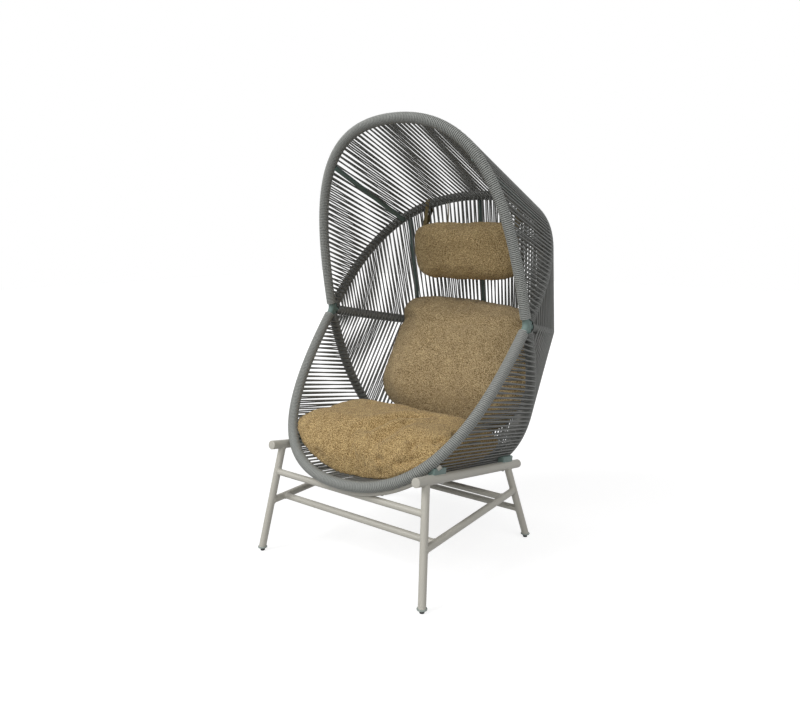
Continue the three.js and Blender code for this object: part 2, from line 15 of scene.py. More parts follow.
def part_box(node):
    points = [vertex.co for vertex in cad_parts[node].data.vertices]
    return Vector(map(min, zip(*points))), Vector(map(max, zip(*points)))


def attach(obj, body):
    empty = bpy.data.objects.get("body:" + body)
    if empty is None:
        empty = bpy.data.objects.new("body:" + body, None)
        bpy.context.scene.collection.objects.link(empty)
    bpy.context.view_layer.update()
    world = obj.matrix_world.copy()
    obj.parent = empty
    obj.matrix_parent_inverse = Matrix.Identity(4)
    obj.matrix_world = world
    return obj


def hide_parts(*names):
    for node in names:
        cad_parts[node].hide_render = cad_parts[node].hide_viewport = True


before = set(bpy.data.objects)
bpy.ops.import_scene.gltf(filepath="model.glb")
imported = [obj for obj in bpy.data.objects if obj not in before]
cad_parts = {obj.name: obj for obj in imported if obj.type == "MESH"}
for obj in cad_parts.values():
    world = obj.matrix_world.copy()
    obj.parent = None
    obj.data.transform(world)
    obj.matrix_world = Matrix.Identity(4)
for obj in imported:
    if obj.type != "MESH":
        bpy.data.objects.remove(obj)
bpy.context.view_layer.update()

# %% [markdown]
# The whole shell is laid out from the axis through its two hubs, the points at the sides
# where all the bows meet. Its height is a plain number, and its place from front to back is
# measured on the solids, from the front glides.

# %% Find the hub axis
HUB_X, HUB_Z = 0.416, 0.800
GLIDE_BEFORE_HUB = 0.45547
low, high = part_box("foot_glide_front_left")
HUB_Y = (low[1] + high[1]) / 2 + GLIDE_BEFORE_HUB
print("hub axis at y", round(HUB_Y, 5))

# %% [markdown]
# The camera comes next, because everything is judged through it. It stands to the chair's
# right at a little over a metre, looks 37 degrees across and 10 degrees down, and keeps its
# verticals nearly upright.

# %% Set up the camera
CAMERA_TURN, CAMERA_DIP = math.radians(37.39), math.radians(10.1)
CAMERA_LENS, CAMERA_SENSOR = 32.0746, 36.0
CAMERA_X, CAMERA_BEFORE_HUB, CAMERA_Z = 1.4546, 2.0168, 1.1044
camera_data = bpy.data.cameras.new("photo_camera")
camera_data.lens, camera_data.sensor_width = CAMERA_LENS, CAMERA_SENSOR
camera = bpy.data.objects.new("photo_camera", camera_data)
camera.location = (CAMERA_X, HUB_Y - CAMERA_BEFORE_HUB, CAMERA_Z)
camera.rotation_euler = (math.pi / 2 - CAMERA_DIP, 0, CAMERA_TURN)
bpy.context.collection.objects.link(camera)
bpy.context.scene.camera = camera
bpy.context.scene.view_settings.view_transform = "Standard"
print("camera at", tuple(round(v, 3) for v in camera.location))

# %% [markdown]
# Finishes are drawn with shader nodes. Writing their maths as plain Python keeps it
# readable: a small class wraps a socket, and its operators add the Math nodes. Any other
# node comes from one method that sets the node up and feeds its sockets.

# %% A socket that can be reckoned with
class Wire:
    def __init__(self, finish, socket):
        self.finish, self.socket = finish, socket

    def math(self, operation, *terms):
        return self.finish.node("ShaderNodeMath", {"operation": operation}, dict(enumerate(terms)))

    def __add__(self, other):
        return self.math("ADD", self, other)

    def __sub__(self, other):
        return self.math("SUBTRACT", self, other)

    def __rsub__(self, other):
        return self.math("SUBTRACT", other, self)

    def __mul__(self, other):
        return self.math("MULTIPLY", self, other)

    __radd__, __rmul__ = __add__, __mul__

    def wave(self):
        return self.math("SINE", self)

    def larger(self, other):
        return self.math("MAXIMUM", self, other)

    def limited(self):
        return self.finish.node("ShaderNodeClamp", {}, {0: self})


# %% A material under construction
class Finish:
    def __init__(self, name, **constants):
        self.material = bpy.data.materials.new(name)
        self.material.use_nodes = True
        self.tree = self.material.node_tree
        self.shader = self.tree.nodes["Principled BSDF"]
        for socket, value in constants.items():
            self.shader.inputs[socket.replace("_", " ")].default_value = value

    def feed(self, socket, value):
        if isinstance(value, Wire):
            self.tree.links.new(value.socket, socket)
        else:
            socket.default_value = value

    def node(self, kind, settings, inputs, output=0):
        made = self.tree.nodes.new(kind)
        for key, value in settings.items():
            if key == "stops":
                ramp = made.color_ramp
                while len(ramp.elements) < len(value):
                    ramp.elements.new(0.5)
                for stop, (place, colour) in zip(ramp.elements, value):
                    stop.position, stop.color = place, (*colour, 1)
            else:
                setattr(made, key, value)
        for key, value in inputs.items():
            self.feed(made.inputs[key], value)
        return Wire(self, made.outputs[output])

    def blend(self, first, second, factor):
        return self.node("ShaderNodeMix", {"data_type": "RGBA"},
                         {0: factor, 6: first, 7: second}, output=2)

    def place(self):
        return self.node("ShaderNodeTexCoord", {}, {}, output="Object")

    def speckle(self, scale, detail):
        return self.node("ShaderNodeTexNoise", {},
                         {"Vector": self.place(), "Scale": scale, "Detail": detail})

    def relief(self, height, strength, distance):
        bump = self.node("ShaderNodeBump", {},
                         {"Height": height, "Strength": strength, "Distance": distance})
        self.feed(self.shader.inputs["Normal"], bump)

    def show(self, socket, value):
        self.feed(self.shader.inputs[socket], value)


def linear(*levels):
    return tuple((v / 255 / 12.92) if v <= 10 else ((v / 255 + 0.055) / 1.055) ** 2.4
                 for v in levels)


def shade(colour, factor):
    return (*(min(1, v * factor) for v in colour), 1)


print("shader helpers ready")

# %% [markdown]
# The cord is a round braid. Each cord's mesh carries an attribute named lay: the cosine and
# sine of the angle round the cord, and the distance along it. Two sets of crossing waves on
# that make the braid's little diamonds, in relief and in tone, and they follow the cord
# round every turn. The tone is darker where the braid dips between its strands, which is
# painted shade. A second attribute, groove, is 1 where a turn of cord dives between its
# neighbours and 0 on its crown, and the tone falls there, as painted shade in the groove.
# The two front rims are wound in the cord's own grey, and the other bows and the strands in
# a darker copy of it, which is painted shade for the inside of the shell.

# %% The braided cord
BRAID_BANDS = 4
CORD_RADIUS = 0.00285
GROOVE_SHADE = 0.16


def cord_finish(name, colour):
    finish = Finish(name, Roughness=0.5)
    groove = finish.node("ShaderNodeAttribute", {"attribute_name": "groove"}, {}, output="Fac")
    lay = finish.node("ShaderNodeAttribute", {"attribute_name": "lay"}, {}, output="Vector")
    cosine, sine, along = (finish.node("ShaderNodeSeparateXYZ", {}, {0: lay}, output=i)
                           for i in range(3))
    angle = sine.math("ARCTAN2", sine, cosine) * BRAID_BANDS
    travel = along * (BRAID_BANDS / CORD_RADIUS)
    height = (travel + angle).wave().larger((travel - angle).wave())
    # The braid's tone follows its height, darker where it dips between its strands: painted shade.
    # The speckle adds the yarn's own random tone.
    tone = (height * 0.16 + 0.5 + finish.speckle(140, 3) * 0.14).limited()
    crown = finish.blend(shade(colour, 0.78), shade(colour, 1.12), tone)
    # Painted shade: the tone falls to a dark copy of the cord's grey in the groove between turns.
    finish.show("Base Color", finish.blend(crown, shade(colour, GROOVE_SHADE), groove))
    finish.relief(height, 0.25, 0.0002)
    return finish.material


cord_grey = cord_finish("braided_cord_grey", linear(152, 154, 150))
# A darker copy of the same cord: painted shade for the windings and strands inside the shell.
cord_shaded_copy = cord_finish("braided_cord_grey_painted_shade", linear(112, 113, 110))
print("made", cord_grey.name, "and", cord_shaded_copy.name)

# %% [markdown]
# Both tube finishes are powder coats. A coat has a faint orange-peel surface and a gloss
# that varies a little from place to place, so a fine noise feeds the relief and a broad one
# the roughness.

# %% Powder coats
def powder_coat(name, colour, roughness):
    finish = Finish(name, Metallic=0.0)
    broad = finish.speckle(9, 2)
    fine = finish.speckle(900, 2)
    finish.show("Base Color", finish.blend(shade(colour, 0.94), shade(colour, 1.05), broad))
    finish.show("Roughness", broad * 0.16 + (roughness - 0.08))
    finish.relief(fine, 0.12, 0.0004)
    return finish.material


shell_coat = powder_coat("shell_coat_teal_grey", linear(104, 124, 119), 0.46)
base_coat = powder_coat("base_coat_warm_grey", linear(190, 187, 177), 0.44)
insert_plastic = powder_coat("foot_insert_plastic", linear(146, 155, 150), 0.5)
glide_plastic = powder_coat("glide_plastic_black", linear(24, 25, 27), 0.42)
print("made 4 coats")

# %% [markdown]
# The cushion cloth is a coarse melange: ochre, straw and brown yarns over and under each
# other. It reads a UV map laid out in metres, so the yarns keep their real width. Long thin
# noise along each direction gives every yarn its own colour, and the weave decides which
# yarn lies on top. Two noises in object coordinates add the flecks and clouds that still
# show from across a room.

# %% The cushion cloth
YARN = 0.0018


def cloth_finish(name, dark, middle, light):
    finish = Finish(name, Roughness=0.92, Sheen_Weight=0.06, Sheen_Roughness=0.5)
    chart = finish.node("ShaderNodeUVMap", {"uv_map": "cloth"}, {})
    across, up = (finish.node("ShaderNodeSeparateXYZ", {}, {0: chart}, output=i)
                  for i in range(2))

    def yarn(run, row, seed):
        number = row * (1 / YARN)
        spot = finish.node("ShaderNodeCombineXYZ", {},
                           {0: run * 70, 1: number.math("FLOOR", number), 2: seed})
        return finish.node("ShaderNodeTexNoise", {}, {"Vector": spot, "Scale": 0.83, "Detail": 3})

    wave_across = (across * (math.pi / YARN)).wave()
    wave_up = (up * (math.pi / YARN)).wave()
    over = wave_across * wave_up
    warp_on_top = (over * 3 + 0.5).limited()
    tone = finish.node("ShaderNodeMix", {"data_type": "FLOAT"},
                       {0: warp_on_top, 2: yarn(across, up, 3.1), 3: yarn(up, across, 8.7)})
    fleck = finish.speckle(380, 1)
    cloud = finish.speckle(26, 2)
    tone = (tone * 0.7 + fleck * 1.8 + cloud * 0.2 - 0.85).limited()
    colour = finish.node("ShaderNodeValToRGB",
                         {"stops": [(0.22, dark), (0.5, middle), (0.78, light)]}, {0: tone})
    finish.show("Base Color", colour)
    height = wave_across.math("ABSOLUTE", wave_across) + wave_up.math("ABSOLUTE", wave_up)
    finish.relief(height, 0.55, 0.0006)
    return finish.material


seat_cloth = cloth_finish("seat_cloth_ochre", linear(104, 78, 42), linear(170, 141, 91),
                          linear(218, 192, 138))
head_cloth = cloth_finish("head_cloth_ochre", linear(102, 80, 48), linear(170, 144, 98),
                          linear(216, 192, 144))
# The back cloth is the same melange, a little darker and greyer: painted shade for the upright back
# cushion.
back_cloth = cloth_finish("back_cloth_ochre", linear(96, 77, 48), linear(158, 135, 95),
                          linear(206, 184, 142))
print("made 3 cloths")

# %% [markdown]
# The two small finishes are the olive webbing of the pillow's straps, which is a ribbed
# tape, and the plain steel of the bolts.

# %% Webbing and steel
WEFT_PITCH, WARP_PITCH = 0.0016, 0.002


def webbing_finish(name, colour):
    finish = Finish(name, Roughness=0.9, Sheen_Weight=0.2)
    chart = finish.node("ShaderNodeUVMap", {"uv_map": "cloth"}, {})
    across, up = (finish.node("ShaderNodeSeparateXYZ", {}, {0: chart}, output=i)
                  for i in range(2))
    rib = ((up * (2 * math.pi / WEFT_PITCH)).wave() * 0.6
           + (across * (2 * math.pi / WARP_PITCH)).wave() * 0.4)
    # The tone follows the ribs, darker in the dips between them: painted shade.
    tone = (rib * 0.3 + 0.5).limited()
    finish.show("Base Color", finish.blend(shade(colour, 0.7), shade(colour, 1.15), tone))
    finish.relief(rib, 0.5, 0.0004)
    return finish.material


strap_web = webbing_finish("pillow_webbing_olive", linear(112, 98, 62))
steel = Finish("bolt_steel", Metallic=1.0)
steel_grey = linear(150, 151, 149)
steel.show("Base Color", steel.blend(shade(steel_grey, 0.9), shade(steel_grey, 1.1),
                                     steel.speckle(220, 2)))
steel.show("Roughness", steel.speckle(420, 3) * 0.2 + 0.25)
bolt_steel = steel.material
print("made webbing and steel")

# %% [markdown]
# Tubes, cords and welds all follow a path, so one Geometry Nodes tree makes them: it turns
# a chain of edges into a curve, sweeps a round section along it, closes the ends and stores
# the lay attribute for the braid. Its sizes are named inputs.

# %% A small kit for node trees
def tree_with(name, sockets):
    tree = bpy.data.node_groups.new(name, "GeometryNodeTree")
    tree.interface.new_socket("Path", in_out="INPUT", socket_type="NodeSocketGeometry")
    for label, kind in sockets:
        tree.interface.new_socket(label, in_out="INPUT", socket_type="NodeSocket" + kind)
    tree.interface.new_socket("Mesh", in_out="OUTPUT", socket_type="NodeSocketGeometry")
    return tree, tree.nodes.new("NodeGroupInput"), tree.nodes.new("NodeGroupOutput")


def adder(tree):
    def add(kind, settings=None, **feeds):
        made = tree.nodes.new(kind)
        for key, value in (settings or {}).items():
            setattr(made, key, value)
        for key, value in feeds.items():
            socket = made.inputs[int(key[1:])] if key[0] == "i" and key[1:].isdigit() else \
                made.inputs[key.replace("_", " ")]
            if hasattr(value, "is_output"):
                tree.links.new(value, socket)
            else:
                socket.default_value = value
        return made
    return add


def node_kit(tree):
    """Four ways to add to a tree: any node, a Math or Vector Math output, and a capture."""
    add = adder(tree)

    def reckon(operation, *terms, **settings):
        feeds = {f"i{place}": term for place, term in enumerate(terms)}
        return add("ShaderNodeMath", {"operation": operation, **settings}, **feeds).outputs[0]

    def vector(operation, first, second):
        other = {"i3" if operation == "SCALE" else "i1": second}
        return add("ShaderNodeVectorMath", {"operation": operation}, i0=first, **other).outputs[0]

    def keep(geometry, kind, name, value):
        made = add("GeometryNodeCaptureAttribute", {"domain": "POINT"})
        made.capture_items.new(kind, name)
        tree.links.new(geometry, made.inputs[0])
        tree.links.new(value, made.inputs[name])
        return made

    return add, reckon, vector, keep


print("tree kit ready")


# %% The sweep that both trees end in
def finish_sweep(tree, given, output, curve, groove=None):
    """Sweeps a round section along the curve, with its lay stored, and ends the tree.

    For a winding, groove turns the swept mesh into one that has its groove stored too.
    """
    add, reckon, vector, keep = node_kit(tree)
    radius = given.outputs["Cord radius"]
    profile = add("GeometryNodeCurvePrimitiveCircle", {"mode": "RADIUS"},
                  Resolution=given.outputs["Sides"], Radius=radius)
    split = add("ShaderNodeSeparateXYZ", i0=add("GeometryNodeInputPosition").outputs[0])
    turn = add("ShaderNodeCombineXYZ", i0=reckon("DIVIDE", split.outputs[0], radius),
               i1=reckon("DIVIDE", split.outputs[1], radius))
    kept_turn = keep(profile.outputs["Curve"], "VECTOR", "turn", turn.outputs[0])
    spline = add("GeometryNodeSplineParameter")
    kept_length = keep(curve, "FLOAT", "length", spline.outputs["Length"])
    sweep = add("GeometryNodeCurveToMesh", Curve=kept_length.outputs[0],
                Profile_Curve=kept_turn.outputs[0], Fill_Caps=True)
    along = add("ShaderNodeCombineXYZ", i2=kept_length.outputs["length"])
    lay = vector("ADD", kept_turn.outputs["turn"], along.outputs[0])
    stored = add("GeometryNodeStoreNamedAttribute",
                 {"data_type": "FLOAT_VECTOR", "domain": "POINT"},
                 Geometry=sweep.outputs[0], Name="lay", Value=lay)
    swept = groove(stored.outputs[0]) if groove else stored.outputs[0]
    smooth = add("GeometryNodeSetShadeSmooth", Geometry=swept)
    real = add("GeometryNodeRealizeInstances", Geometry=smooth.outputs[0])
    coated = add("GeometryNodeSetMaterial", Geometry=real.outputs[0],
                 Material=given.outputs["Material"])
    tree.links.new(coated.outputs[0], output.inputs["Mesh"])


SWEEP_SIZES = [("Cord radius", "Float"), ("Sides", "Int"), ("Material", "Material")]
tube_tree, given, output = tree_with("round_section_along_path", SWEEP_SIZES)
to_curve = adder(tube_tree)("GeometryNodeMeshToCurve", Mesh=given.outputs["Path"])
finish_sweep(tube_tree, given, output, to_curve.outputs[0])
print("tree", tube_tree.name)

# %% [markdown]
# A winding is a helix round a bow. The second tree resamples the bow's path to so many steps
# for each turn, pushes each point out from the axis by an angle that grows steadily, and
# sweeps the cord along the result. The number of turns is the bow's length over the pitch.

# %% The winding tree
GROOVE_START = 0.85
winding_tree, given, output = tree_with("cord_wound_round_path", [
    ("Turns", "Int"), ("Steps per turn", "Int"), ("Winding radius", "Float")] + SWEEP_SIZES)
add, reckon, vector, keep = node_kit(winding_tree)
to_curve = add("GeometryNodeMeshToCurve", Mesh=given.outputs["Path"])
per_turn, winding_reach = given.outputs["Steps per turn"], given.outputs["Winding radius"]
stepped = add("GeometryNodeResampleCurve", Curve=to_curve.outputs[0],
              Count=reckon("MULTIPLY", given.outputs["Turns"], per_turn))
turns_so_far = reckon("DIVIDE", add("GeometryNodeInputIndex").outputs[0], per_turn)
angle = reckon("MULTIPLY", turns_so_far, 2 * math.pi)
normal = add("GeometryNodeInputNormal").outputs[0]
side = vector("CROSS_PRODUCT", add("GeometryNodeInputTangent").outputs[0], normal)
out = vector("SCALE", normal, reckon("COSINE", angle))
over = vector("SCALE", side, reckon("SINE", angle))
push = vector("SCALE", vector("ADD", out, over), winding_reach)
kept_axis = keep(stepped.outputs[0], "VECTOR", "axis",
                 add("GeometryNodeInputPosition").outputs[0])
helix = add("GeometryNodeSetPosition", Geometry=kept_axis.outputs[0], Offset=push)


def store_groove(swept):
    """Stores how deep each point lies between the turns, from its distance to the bow's axis."""
    from_axis = add("ShaderNodeVectorMath", {"operation": "DISTANCE"},
                    i0=add("GeometryNodeInputPosition").outputs[0],
                    i1=kept_axis.outputs["axis"]).outputs["Value"]
    cord_radius = given.outputs["Cord radius"]
    rim = reckon("MULTIPLY_ADD", cord_radius, GROOVE_START, winding_reach)
    depth = reckon("DIVIDE", reckon("SUBTRACT", rim, from_axis), cord_radius, use_clamp=True)
    return add("GeometryNodeStoreNamedAttribute", {"data_type": "FLOAT", "domain": "POINT"},
               Geometry=swept, Name="groove", Value=depth).outputs[0]


finish_sweep(winding_tree, given, output, helix.outputs[0], store_groove)
print("tree", winding_tree.name)

# %% [markdown]
# One function runs a tree on a path and turns the result into a plain mesh at the origin.
# It checks the volume's sign, so that the faces point outwards, and marks the edges where
# two faces meet sharply, such as a tube's cut end.

# %% Grow a piece from a path
def path_mesh(name, chains):
    mesh = bpy.data.meshes.new(name)
    points, edges = [], []
    for chain, closed in chains:
        first = len(points)
        points += [tuple(p) for p in chain]
        edges += [(i, i + 1) for i in range(first, len(points) - 1)]
        if closed:
            edges.append((len(points) - 1, first))
    mesh.from_pydata(points, edges, [])
    return mesh


def volume_of(mesh):
    mesh.calc_loop_triangles()
    spots = np.empty(len(mesh.vertices) * 3)
    mesh.vertices.foreach_get("co", spots)
    corners = np.empty(len(mesh.loop_triangles) * 3, dtype=np.int64)
    mesh.loop_triangles.foreach_get("vertices", corners)
    a, b, c = spots.reshape(-1, 3)[corners].reshape(-1, 3, 3).transpose(1, 0, 2)
    return float(np.einsum("ij,ij->i", a, np.cross(b, c)).sum() / 6)


def settle(name, mesh, material, body, nodes=(), sharp=40):
    """Links a finished mesh as a piece of the chair."""
    if volume_of(mesh) < 0:
        mesh.flip_normals()
    mesh.name = name
    if material.name not in [m.name for m in mesh.materials if m]:
        mesh.materials.clear()
        mesh.materials.append(material)
    mesh.shade_smooth()
    mesh.set_sharp_from_angle(angle=math.radians(sharp))
    piece = bpy.data.objects.new(name, mesh)
    bpy.context.collection.objects.link(piece)
    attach(piece, body)
    if nodes:
        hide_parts(*nodes)
    return piece


def evaluated_copy(thing):
    bpy.context.view_layer.update()
    return bpy.data.meshes.new_from_object(
        thing.evaluated_get(bpy.context.evaluated_depsgraph_get()))


def mesh_of(form, name):
    """The mesh of a bmesh, which is freed."""
    mesh = bpy.data.meshes.new(name)
    form.to_mesh(mesh)
    form.free()
    return mesh


def grow(name, chains, tree, sizes, material):
    base = bpy.data.objects.new(name + "_path", path_mesh(name + "_path", chains))
    bpy.context.collection.objects.link(base)
    modifier = base.modifiers.new("grow", "NODES")
    modifier.node_group = tree
    for item in tree.interface.items_tree:
        if item.in_out == "INPUT" and item.name != "Path":
            modifier[item.identifier] = material if item.name == "Material" else sizes[item.name]
    mesh = evaluated_copy(base)
    bpy.data.objects.remove(base, do_unlink=True)
    return mesh


def tube_piece(name, chains, radius, material, nodes=(), sides=32, sharp=40):
    mesh = grow(name, chains, tube_tree, {"Cord radius": radius, "Sides": sides}, material)
    return settle(name, mesh, material, "chair", nodes, sharp)


print("path kit ready")

# %% [markdown]
# Every bow of the shell lies in a plane through the hub axis, like a page of an open book.
# Half of it is one cubic curve, from a hub out to the shoulder and in to the crown. The
# table gives each bow's reach, its angle from straight back, and its three shape shares.

# %% The five bows
BOWS = {
    "canopy_rim": (0.668, 103.3, 0.962, 0.587, 0.807),
    "rear_arch": (0.569, 48.9, 1.034, 0.639, 0.745),
    "middle_hoop": (0.448, -11.1, 1.036, 0.651, 0.696),
    "lower_hoop": (0.610, -73.3, 1.048, 0.4945, 0.774),
    "lower_rim": (0.651, -131.65, 0.962, 0.5515, 0.796),
}
BOW_POINTS = 480


class Bow:
    """A bow's centre line, asked for by its distance share from hub to hub."""

    def __init__(self, reach, angle, shoulder, rise, crown):
        out = np.array([0, math.cos(math.radians(angle)), math.sin(math.radians(angle))])
        hub = np.array([0, HUB_Y, HUB_Z])
        corners = [(HUB_X, 0), (HUB_X * shoulder, reach * rise), (HUB_X * crown, reach), (0, reach)]
        t = np.linspace(0, 1, 400)[:, None]
        weights = [(1 - t) ** 3, 3 * t * (1 - t) ** 2, 3 * t ** 2 * (1 - t), t ** 3]
        half = sum(w * (hub + out * r + np.array([-x, 0, 0]))
                   for w, (x, r) in zip(weights, corners))
        mirrored = half[::-1] * np.array([-1, 1, 1])
        self.line = np.vstack([half, mirrored[1:]])
        steps = np.linalg.norm(np.diff(self.line, axis=0), axis=1)
        self.run = np.concatenate([[0], np.cumsum(steps)])
        self.length = self.run[-1]

    def at(self, share):
        return np.array([np.interp(share * self.length, self.run, self.line[:, i])
                         for i in range(3)])

    def heading(self, share):
        near = 0.004
        step = self.at(min(share + near, 1)) - self.at(max(share - near, 0))
        return step / np.linalg.norm(step)

    def stretch(self, start, stop, count=BOW_POINTS):
        """Points from start metres past the left hub to stop metres before the right one."""
        return [self.at(s) for s in np.linspace(start / self.length, 1 - stop / self.length, count)]


bows = {name: Bow(*row) for name, row in BOWS.items()}
print({name: round(bow.length, 3) for name, bow in bows.items()})

# %% [markdown]
# The front rim is one ring of tube, bent sharply at both hubs. The three rear bows start
# inside it and are welded on. The bare corners of this tube show beside the hubs, in the
# teal grey of the shell.

# %% Shell tubes
TUBE_RADIUS = 0.012
ELBOW = 0.017


def elbow(before, corner, after, count=10):
    """Points round a corner, on the curve that leaves one line and joins the next."""
    return [(1 - t) ** 2 * before + 2 * t * (1 - t) * corner + t * t * after
            for t in np.linspace(0, 1, count)[1:-1]]


canopy_line = bows["canopy_rim"].stretch(ELBOW, ELBOW)
lower_line = bows["lower_rim"].stretch(ELBOW, ELBOW)[::-1]
right_hub, left_hub = (np.array([side * HUB_X, HUB_Y, HUB_Z]) for side in (1, -1))
ring = (canopy_line + elbow(canopy_line[-1], right_hub, lower_line[0])
        + lower_line + elbow(lower_line[-1], left_hub, canopy_line[0]))
tube_piece("front_ring_tube", [(ring, True)], TUBE_RADIUS, shell_coat,
           ["front_rim_tube"])
for bow, node in [("rear_arch", "rear_arch_tube"), ("middle_hoop", "middle_hoop_tube"),
                  ("lower_hoop", "lower_hoop_tube")]:
    tube_piece(bow + "_bent_tube", [(bows[bow].stretch(0.001, 0.001), False)], TUBE_RADIUS,
               shell_coat, [node])
print("made 4 shell tubes")

# %% [markdown]
# Each bow is wound with cord from near one hub to near the other, turn against turn, at a
# pitch of 6 mm. The winding covers the tube and holds the strands.

# %% Windings
PITCH = 0.006
WINDING_RADIUS = TUBE_RADIUS + 0.0029
WINDING_STEPS, CORD_SIDES = 14, 8
# The rear bows are wound with the darker copy of the cord, painted shade for the inside of the
# shell.
WINDINGS = {  # bare tube at each hub, node and cord
    "canopy_rim": (0.024, "canopy_cords", cord_grey),
    "rear_arch": (0.019, "back_cords", cord_shaded_copy),
    "middle_hoop": (0.021, "lower_back_cords", cord_shaded_copy),
    "lower_hoop": (0.019, "seat_cords", cord_shaded_copy),
    "lower_rim": (0.024, "lower_rim_winding", cord_grey),
}
for bow, (bare, node, cord) in WINDINGS.items():
    turns = int((bows[bow].length - 2 * bare) / PITCH)
    sizes = {"Turns": turns, "Steps per turn": WINDING_STEPS, "Winding radius": WINDING_RADIUS,
             "Cord radius": CORD_RADIUS, "Sides": CORD_SIDES}
    mesh = grow(bow + "_winding", [(bows[bow].stretch(bare, bare), False)],
                winding_tree, sizes, cord)
    print(bow, "turns", turns, "faces", len(mesh.polygons))
    settle(bow + "_cord_winding", mesh, cord, "chair", [node], 180)

# %% [markdown]
# Between two bows the cord runs in long loops, like a belt round two pulleys: out over the
# outside of one bow to the other, half round it under the winding, and back on the inside,
# half a step further on. So each panel has two layers of strands, a bow's thickness apart.
# A small random shift keeps the strands from looking machined.

# %% Strand loops
LOOP_SPACING, LOOP_JITTER = 0.018, 0.0012
LOOP_RADIUS, DIVE_RADIUS = 0.0150, 0.0124
HUB_SETBACK = 0.040
shuffle = np.random.default_rng(7)


def unit(vector):
    return vector / np.linalg.norm(vector)


def between(start, stop, share):
    return start + (stop - start) * share


def half_turn(bow, share, away, outward, start, count=7):
    """Points half round a bow under its winding, from one face of the shell to the other."""
    centre, heading = bow.at(share), bow.heading(share)
    back = unit(away - heading * away.dot(heading))
    face = unit(outward - heading * outward.dot(heading) - back * outward.dot(back))
    return [centre + between(DIVE_RADIUS, LOOP_RADIUS, (1 - math.sin(a)) ** 2)
            * (start * math.cos(a) * face + math.sin(a) * back)
            for a in np.linspace(0, math.pi, count)]


def strand_loops(first, second, shift):
    first, second = bows[first], bows[second]
    longer = max(first.length, second.length)
    start = HUB_SETBACK / min(first.length, second.length)
    count = int(longer * (1 - 2 * start) / LOOP_SPACING)
    step = (1 - 2 * start) / count
    chains = []
    for i in range(count):
        share = start + (i + shift) * step
        jitter = shuffle.uniform(-LOOP_JITTER, LOOP_JITTER, 3) / longer
        out_share, back_share = share + jitter[0], share + step / 2 + jitter[1]
        line = unit(second.at(share) - first.at(share))
        outward = np.cross(line, first.heading(share))
        middle = (first.at(share) + second.at(share)) / 2 - np.array([0, HUB_Y, HUB_Z])
        if outward.dot(middle) < 0:
            outward = -outward
        near_end = half_turn(first, share - step / 4 + jitter[2], -line, outward, -1)
        far_end = half_turn(second, (out_share + back_share) / 2, line, outward, 1)
        chains.append(near_end[2:] + far_end)
        last = half_turn(first, back_share, -line, outward, -1, 9)
        chains[-1] += last[:3]
    return [(chain, False) for chain in chains]


PANELS = [("hood_strands", "canopy_rim", "rear_arch", 0.0),
          ("back_strands", "rear_arch", "middle_hoop", 0.5),
          ("lower_back_strands", "middle_hoop", "lower_hoop", 0.0),
          ("seat_strands", "lower_hoop", "lower_rim", 0.5)]
# The strands take the darker copy of the cord, painted shade for the inside of the shell.
for name, first, second, shift in PANELS:
    mesh = grow(name, strand_loops(first, second, shift), tube_tree,
                {"Cord radius": CORD_RADIUS, "Sides": CORD_SIDES}, cord_shaded_copy)
    print(name, "faces", len(mesh.polygons))
    settle(name, mesh, cord_shaded_copy, "chair", (), 180)

# %% [markdown]
# Two struts hold the hood up from inside, and three stays brace the back from behind. They
# are thinner tubes that lie against the strands and end at the windings.

# %% Struts and stays
SIDES = [(-1, "left"), (1, "right")]
STAY_RADIUS, STAY_TRIM = 0.009, 0.010
STAY_OFFSET = STAY_RADIUS + 0.0036
STRUT_SHARES, STAY_SHARES = (0.315, 0.296), (0.316, 0.3)


def facing(first, second, share):
    """The direction out of the shell, square to the panel between two bows."""
    here = first.at(share)
    normal = unit(np.cross(second.at(share) - here, first.heading(share)))
    middle = (here + second.at(share)) / 2 - np.array([0, HUB_Y, HUB_Z])
    return -normal if normal.dot(middle) < 0 else normal


def stay(name, node, first, second, shares, offset):
    first, second = bows[first], bows[second]
    ends = [bow.at(share) + facing(first, second, share) * offset
            for bow, share in zip((first, second), shares)]
    run = unit(ends[1] - ends[0])
    path = [ends[0] + run * STAY_TRIM, ends[1] - run * STAY_TRIM]
    tube_piece(name, [(path, False)], STAY_RADIUS, shell_coat, [node])


for side, name in SIDES:
    strut, brace = ([share if side < 0 else 1 - share for share in shares]
                    for shares in (STRUT_SHARES, STAY_SHARES))
    stay("hood_strut_" + name, "canopy_strut_" + name, "canopy_rim", "rear_arch", strut,
         -STAY_OFFSET)
    stay("rear_stay_" + name, "back_stay_" + name, "rear_arch", "middle_hoop", brace,
         STAY_OFFSET)
stay("rear_stay_centre", "back_stay_centre", "rear_arch", "middle_hoop", (0.5, 0.5), STAY_OFFSET)
print("made 2 struts and 3 stays")

# %% [markdown]
# The base is two sloping rails on four splayed legs, tied together by stretchers. Its points
# are set out once, by the same shares along the rails and legs, and each tube runs between
# two of them.

# %% Set out the base
RAIL_RADIUS, LEG_RADIUS, SIDE_RADIUS, BAR_RADIUS = 0.015, 0.0125, 0.012, 0.011
RAIL_HALF_SPACING, RAIL_AHEAD, RAIL_BEHIND = 0.302, 0.432, 0.181
RAIL_FRONT_HEIGHT, RAIL_REAR_HEIGHT = 0.382, 0.276
LEG_SHARES = {"front": 0.08, "rear": 0.88}
FEET = {"front": (0.3435, -0.4585), "rear": (0.336, 0.204)}
STRETCHER_SHARES = {"front": 0.53, "rear": 0.34}
CROSS_SHARES = {"front": 0.11, "rear": 0.86}
REAR_CROSSBAR_SHARE = 0.6
LEG_END_HEIGHT = 0.013


def spot(x, depth, height):
    return np.array([x, HUB_Y + depth, height])


